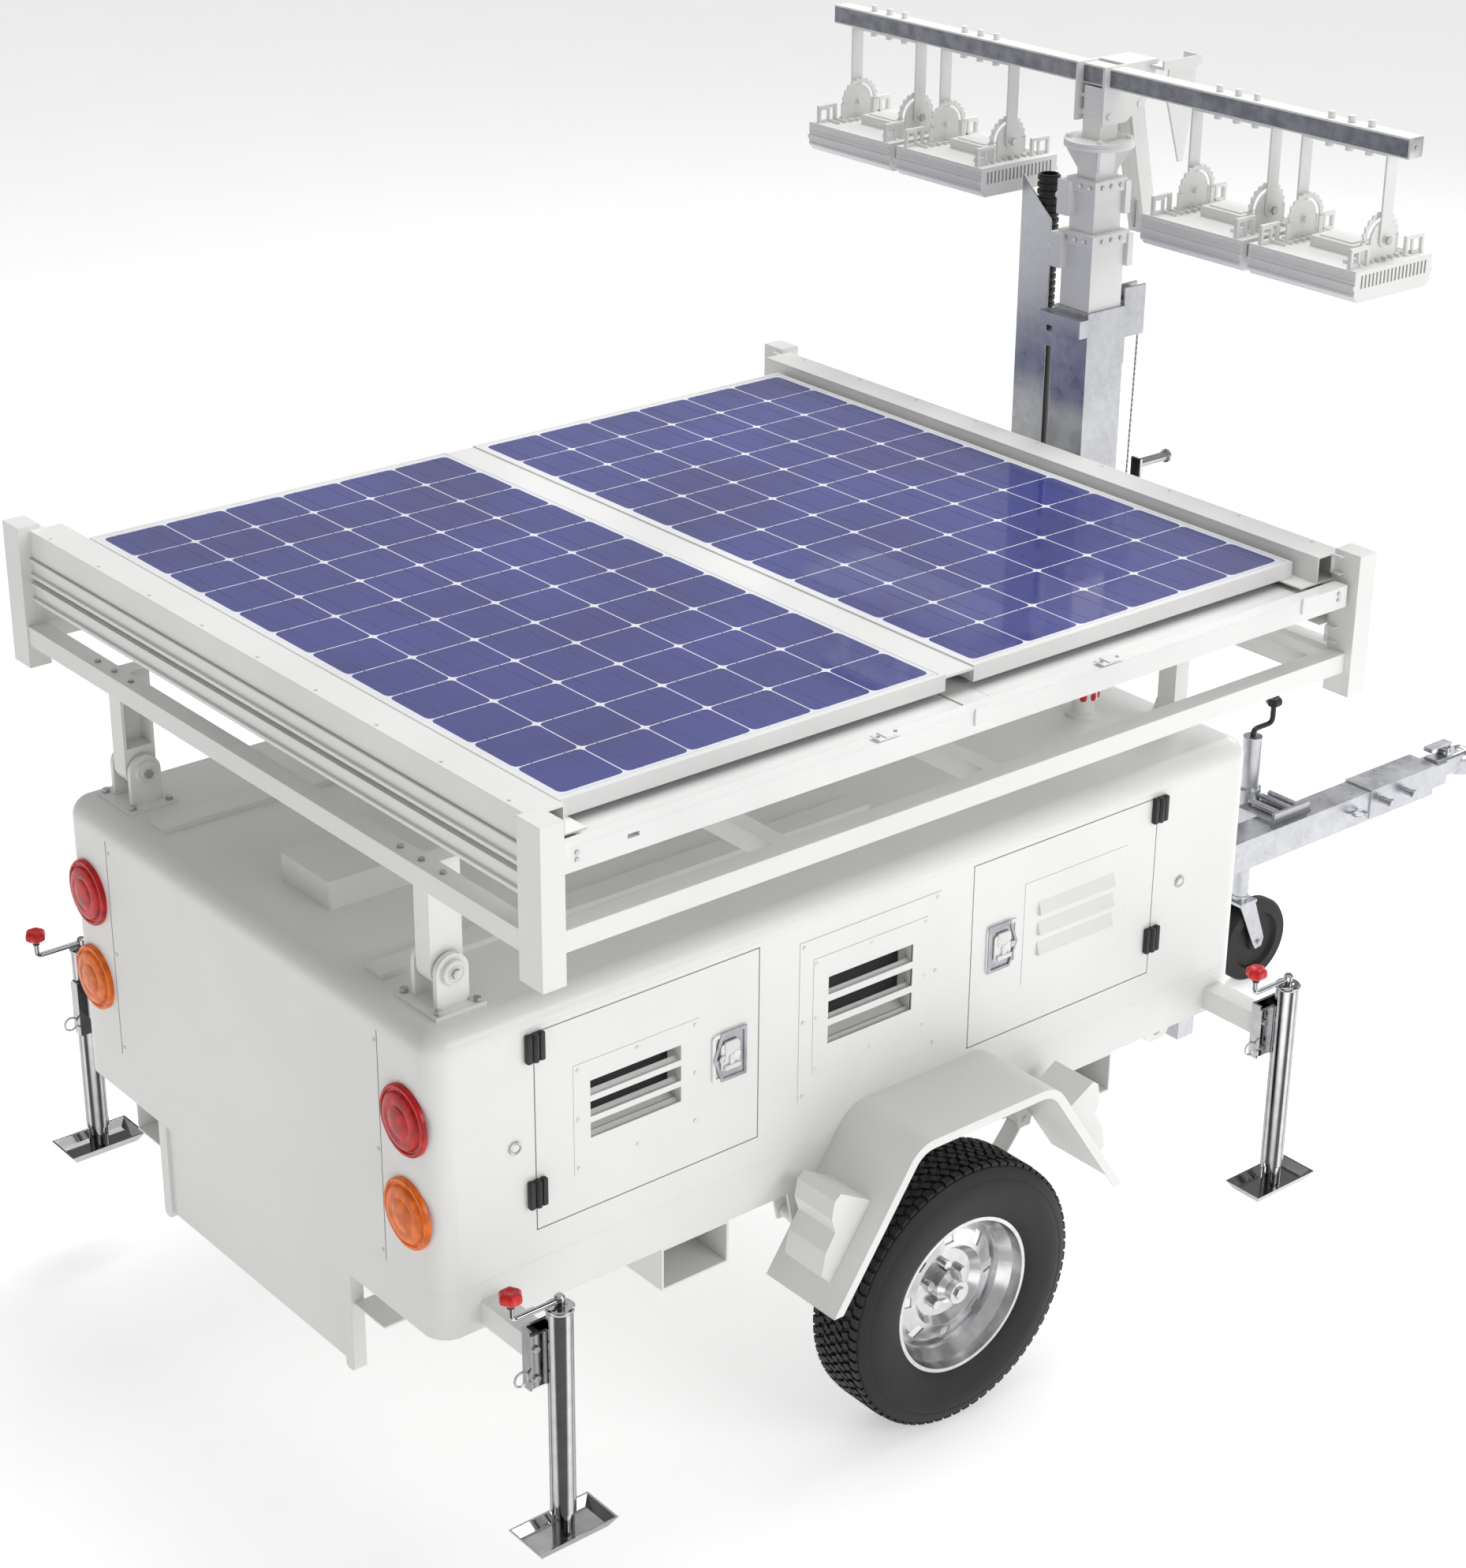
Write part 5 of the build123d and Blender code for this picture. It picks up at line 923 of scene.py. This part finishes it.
def lampDetails():
    x, depth, half, pivotZ = lamp["x"], lamp["depth"], lamp["width"] / 2, lamp["pivot"]
    low, high = lamp["bottom"], lamp["bottom"] + lamp["height"]
    none = (0, 0, 0)
    for i, y in enumerate(lamp["centres"]):
        name, body = "lamp%d" % (i + 1), "flood_%d" % (i + 1)
        firstSlot = x - depth / 2 + lamp["slotEdge"]
        pitch = (depth - 2 * lamp["slotEdge"]) / (lamp["slots"] - 1)
        boxGrid(name + "Slots", [at(firstSlot, y + sign * (half - 0.1), low + 50) for sign in (-1, 1)],
                lamp["slots"], (pitch, 0, 0), 1, none, (5.0, 1.4, 32), body, seamGrey)
        boxGrid(name + "Grooves", [at(x + sign * (depth / 2 + 0.3), y, low + 20) for sign in (-1, 1)],
                4, (0, 0, 16), 1, none, (3.0, 2 * half - 6, 5.0), body, whiteCast)
        boxGrid(name + "Fins", [at(x - 96, y - 118, high + 4)], 9, (24, 0, 0), 2, (0, 236, 0), (4.0, 52, 8), body,
                whiteCast)
        frame = bmesh.new()
        for sign in (-1, 1):
            for end in (-1, 1):
                cx, cy = x + end * (depth / 2 - lamp["handleX"]), y + sign * (half - lamp["handleY"])
                for dx, dz, sx, sz in lamp["handle"]:
                    addBox(frame, at(cx + dx - sx / 2, cy - 5, high + dz - sz / 2),
                           at(cx + dx + sx / 2, cy + 5, high + dz + sz / 2), 0.0015)
        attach(fromBmesh(name + "Handles", frame, whiteCast), body)
        arcs = [quadrant(name + "Quadrant", x, y + sign * lamp["arcAt"], pivotZ, high) for sign in (-1, 1)]
        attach(joinObjects(name + "Quadrants", arcs), body)
        for sign, word in ((-1, "Right"), (1, "Left")):
            fasteners(name + "Pivot" + word, [at(x, y + sign * lamp["boltAt"], pivotZ)], (0, sign, 0), 11, 7,
                      "head", zincBolt)
        boxGrid(name + "Driver", [at(x + 17, y - 5, high + 27)], 1, none, 1, none, (84, 104, 4), body, whiteCast)
        glass = bmesh.new()
        reach, span = depth / 2 - 19, half - 13
        addBox(glass, at(x - reach, y - span, low + 2), at(x + reach, y + span, low + 5.8))
        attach(fromBmesh(name + "Glass", glass, cellGlass), body)
        leds = [at(x - 100 + lamp["ledPitch"][0] * a, y - 135 + lamp["ledPitch"][1] * b, low + 2)
                for a in range(lamp["ledColumns"]) for b in range(lamp["ledRows"])]
        fasteners(name + "Leds", leds, (0, 0, -1), 9, 1.8, body, cellGlass, 16)


mast = {"barZ": 3045.0, "barHalf": 1022.0, "barFace": 25.0, "capIn": 1019.0, "capOut": 1026.0, "capHalf": 24.0,
        "collars": ((1, 2640, 69, 63), (2, 2780, 59, 53)), "boltSpread": (-34, 0, 34), "boltDrop": 17.0}


def mastDetails():
    x, z = lamp["x"], mast["barZ"]
    plate, face, end = bmesh.new(), mast["barFace"], mast["barHalf"]
    addBox(plate, at(x - face - 0.7, -end, z - 21), at(x - face, end, z + 20))
    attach(fromBmesh("barRearFace", plate, barDark), "head")
    caps, half = bmesh.new(), mast["capHalf"]
    for side in (-1, 1):
        ys = sorted((side * mast["capIn"], side * mast["capOut"]))
        addBox(caps, at(x - half, ys[0], z - half), at(x + half, ys[1], z + half), 0.001)
    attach(fromBmesh("barEndCaps", caps, zincBolt), "head")
    fasteners("barEndScrews", [at(x, -mast["capOut"], z)], (0, -1, 0), 6, 2, "head", zincBolt)
    for stage, top, hx, hy in mast["collars"]:
        body, boltZ = "stage_%d" % stage, top - mast["boltDrop"]
        rear = [at(x - hx, y, boltZ) for y in mast["boltSpread"]]
        flank = [at(x + dx, -hy, boltZ) for dx in mast["boltSpread"]]
        fasteners(body + "RearBolts", rear, (-1, 0, 0), 6, 5, body)
        fasteners(body + "SideBolts", flank, (0, -1, 0), 6, 5, body)


lampDetails()
mastDetails()
print("mast and lamps detailed")


# tray latches

trayLatch = {"x": (1010, 1690), "rise": 8.0, "reach": 34.0, "plate": 34.0, "thumb": 16.0, "screwX": (-25, 25)}


def trayLatches():
    for side, node, body in ((-1, "tray_right", "tray_r"), (1, "tray_left", "tray_l")):
        low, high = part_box(node)
        z = 1000 * high[2] - trayLatch["rise"]
        face = 1000 * (low[1] if side < 0 else high[1])
        ys = sorted((face - side * 0.2, face - side * trayLatch["reach"]))
        bm = bmesh.new()
        for x in trayLatch["x"]:
            for half, base in ((trayLatch["plate"], 8), (trayLatch["thumb"], 11)):
                addBox(bm, at(x - half, ys[0], z + base), at(x + half, ys[1], z + base + 3), 0.001)
        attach(fromBmesh(node + "Latches", bm, anodised), body)
        tops = [at(x + dx, face - side * trayLatch["reach"] / 2, z + 11) for x in trayLatch["x"]
                for dx in trayLatch["screwX"]]
        fasteners(node + "LatchScrews", tops, (0, 0, 1), 4.5, 2, body, zincBolt, 12)


trayLatches()


# hinge discs, anchor bolts and roof fixings

pivot = {"x": 130.0, "y": 655.0, "z": 1580.0, "outer": 58.0, "anchorX": 50, "anchorY": 66, "anchorZ": 1499,
         "disc": ((0, -2), (29.5, -2), (29.5, 1), (27, 3), (22, 3), (21, 1.5), (17, 1.5), (16, 4), (0, 4))}


def pivotDetails():
    for side, word in sides:
        for face in (-1, 1):
            y = side * pivot["y"] + face * pivot["outer"]
            rings = [(radius, face * along) for radius, along in pivot["disc"]]
            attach(spun("pivotDisc%s%d" % (word, face), rings, at(pivot["x"], y, pivot["z"]), "y", whiteCast, 48),
                    "chassis")
            fasteners("pivotNut%s%d" % (word, face), [at(pivot["x"], y + face * 4, pivot["z"])], (0, face, 0),
                      12, 8, "chassis", zincBolt)
        anchors = [at(pivot["x"] + dx, side * pivot["y"] + dy, pivot["anchorZ"])
                   for dx in (-pivot["anchorX"], pivot["anchorX"]) for dy in (-pivot["anchorY"], pivot["anchorY"])]
        fasteners("pivotAnchors" + word, anchors, (0, 0, 1), 10, 9.5, "chassis", zincBolt)


pivotDetails()


# red cap on the roof stud

stud = {"x": 2325, "y": -414, "z": 1535, "radius": 44, "height": 37, "lobes": 8}


def studCap():
    cap = lobedKnob("studCap", at(stud["x"], stud["y"], stud["z"]), redKnob, stud["radius"], stud["height"],
                    stud["lobes"])
    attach(cap, "chassis")


studCap()


# camera, light and floor

view = {"place": (-3147, -5620, 4735), "azimuth": -39.48, "elevation": 24.74, "roll": 0.483, "lens": 76.5}
studio = {"floorHalf": 90.0, "floorZ": -0.001, "floorGlow": 0.42, "world": 0.40}

camera = linked("camera", bpy.data.cameras.new("camera"))
azimuth, elevation, roll = (math.radians(view[key]) for key in ("azimuth", "elevation", "roll"))
camera.location = at(*view["place"])
camera.data.sensor_width = 36.0
camera.data.sensor_fit = "HORIZONTAL"
camera.data.lens = view["lens"]
back = Vector((math.sin(azimuth) * math.cos(elevation), -math.cos(azimuth) * math.cos(elevation),
               math.sin(elevation)))
level = Vector((math.cos(azimuth), math.sin(azimuth), 0.0))
upright = back.cross(level)
right = level * math.cos(roll) + upright * math.sin(roll)
up = upright * math.cos(roll) - level * math.sin(roll)
camera.rotation_euler = Matrix((right, up, back)).transposed().to_euler()
bpy.context.scene.camera = camera

far, under = studio["floorHalf"], studio["floorZ"]
floor = meshObject("floor", [(-far, -far, under), (far, -far, under), (far, far, under), (-far, far, under)],
                   [(0, 1, 2, 3)], makePowderCoat("pale studio floor", ("#FAFAFA", "#F8F8F8"), 0.8))
glow = floor.data.materials[0].node_tree.nodes["Principled BSDF"].inputs  # a back-lit acrylic sweep
glow["Emission Color"].default_value = (1.0, 1.0, 1.0, 1.0)
glow["Emission Strength"].default_value = studio["floorGlow"]


def softbox(name, place, target, size, power):
    data = bpy.data.lights.new(name, "AREA")
    data.shape = "RECTANGLE"
    data.size, data.size_y = size
    data.energy = power
    box = linked(name, data)
    box.location = place
    box.rotation_euler = (Vector(target) - Vector(place)).to_track_quat("-Z", "Y").to_euler()


softbox("keyRight", (2.0, -10.0, 5.0), (0, 0, 1.2), (7, 4), 330)
softbox("topFill", (1.5, 0.5, 9.5), (0.3, 0, 1.0), (5, 5), 520)
softbox("frontFill", (9.0, 2.0, 6.0), (0, 0, 1.0), (5, 4), 240)
bpy.context.scene.view_settings.view_transform = "Standard"
world = bpy.data.worlds.new("studio")
world.use_nodes = True
sky = world.node_tree.nodes["Background"].inputs
sky["Color"].default_value = (1.0, 1.0, 1.0, 1.0)
sky["Strength"].default_value = studio["world"]
bpy.context.scene.world = world
print("studio ready")
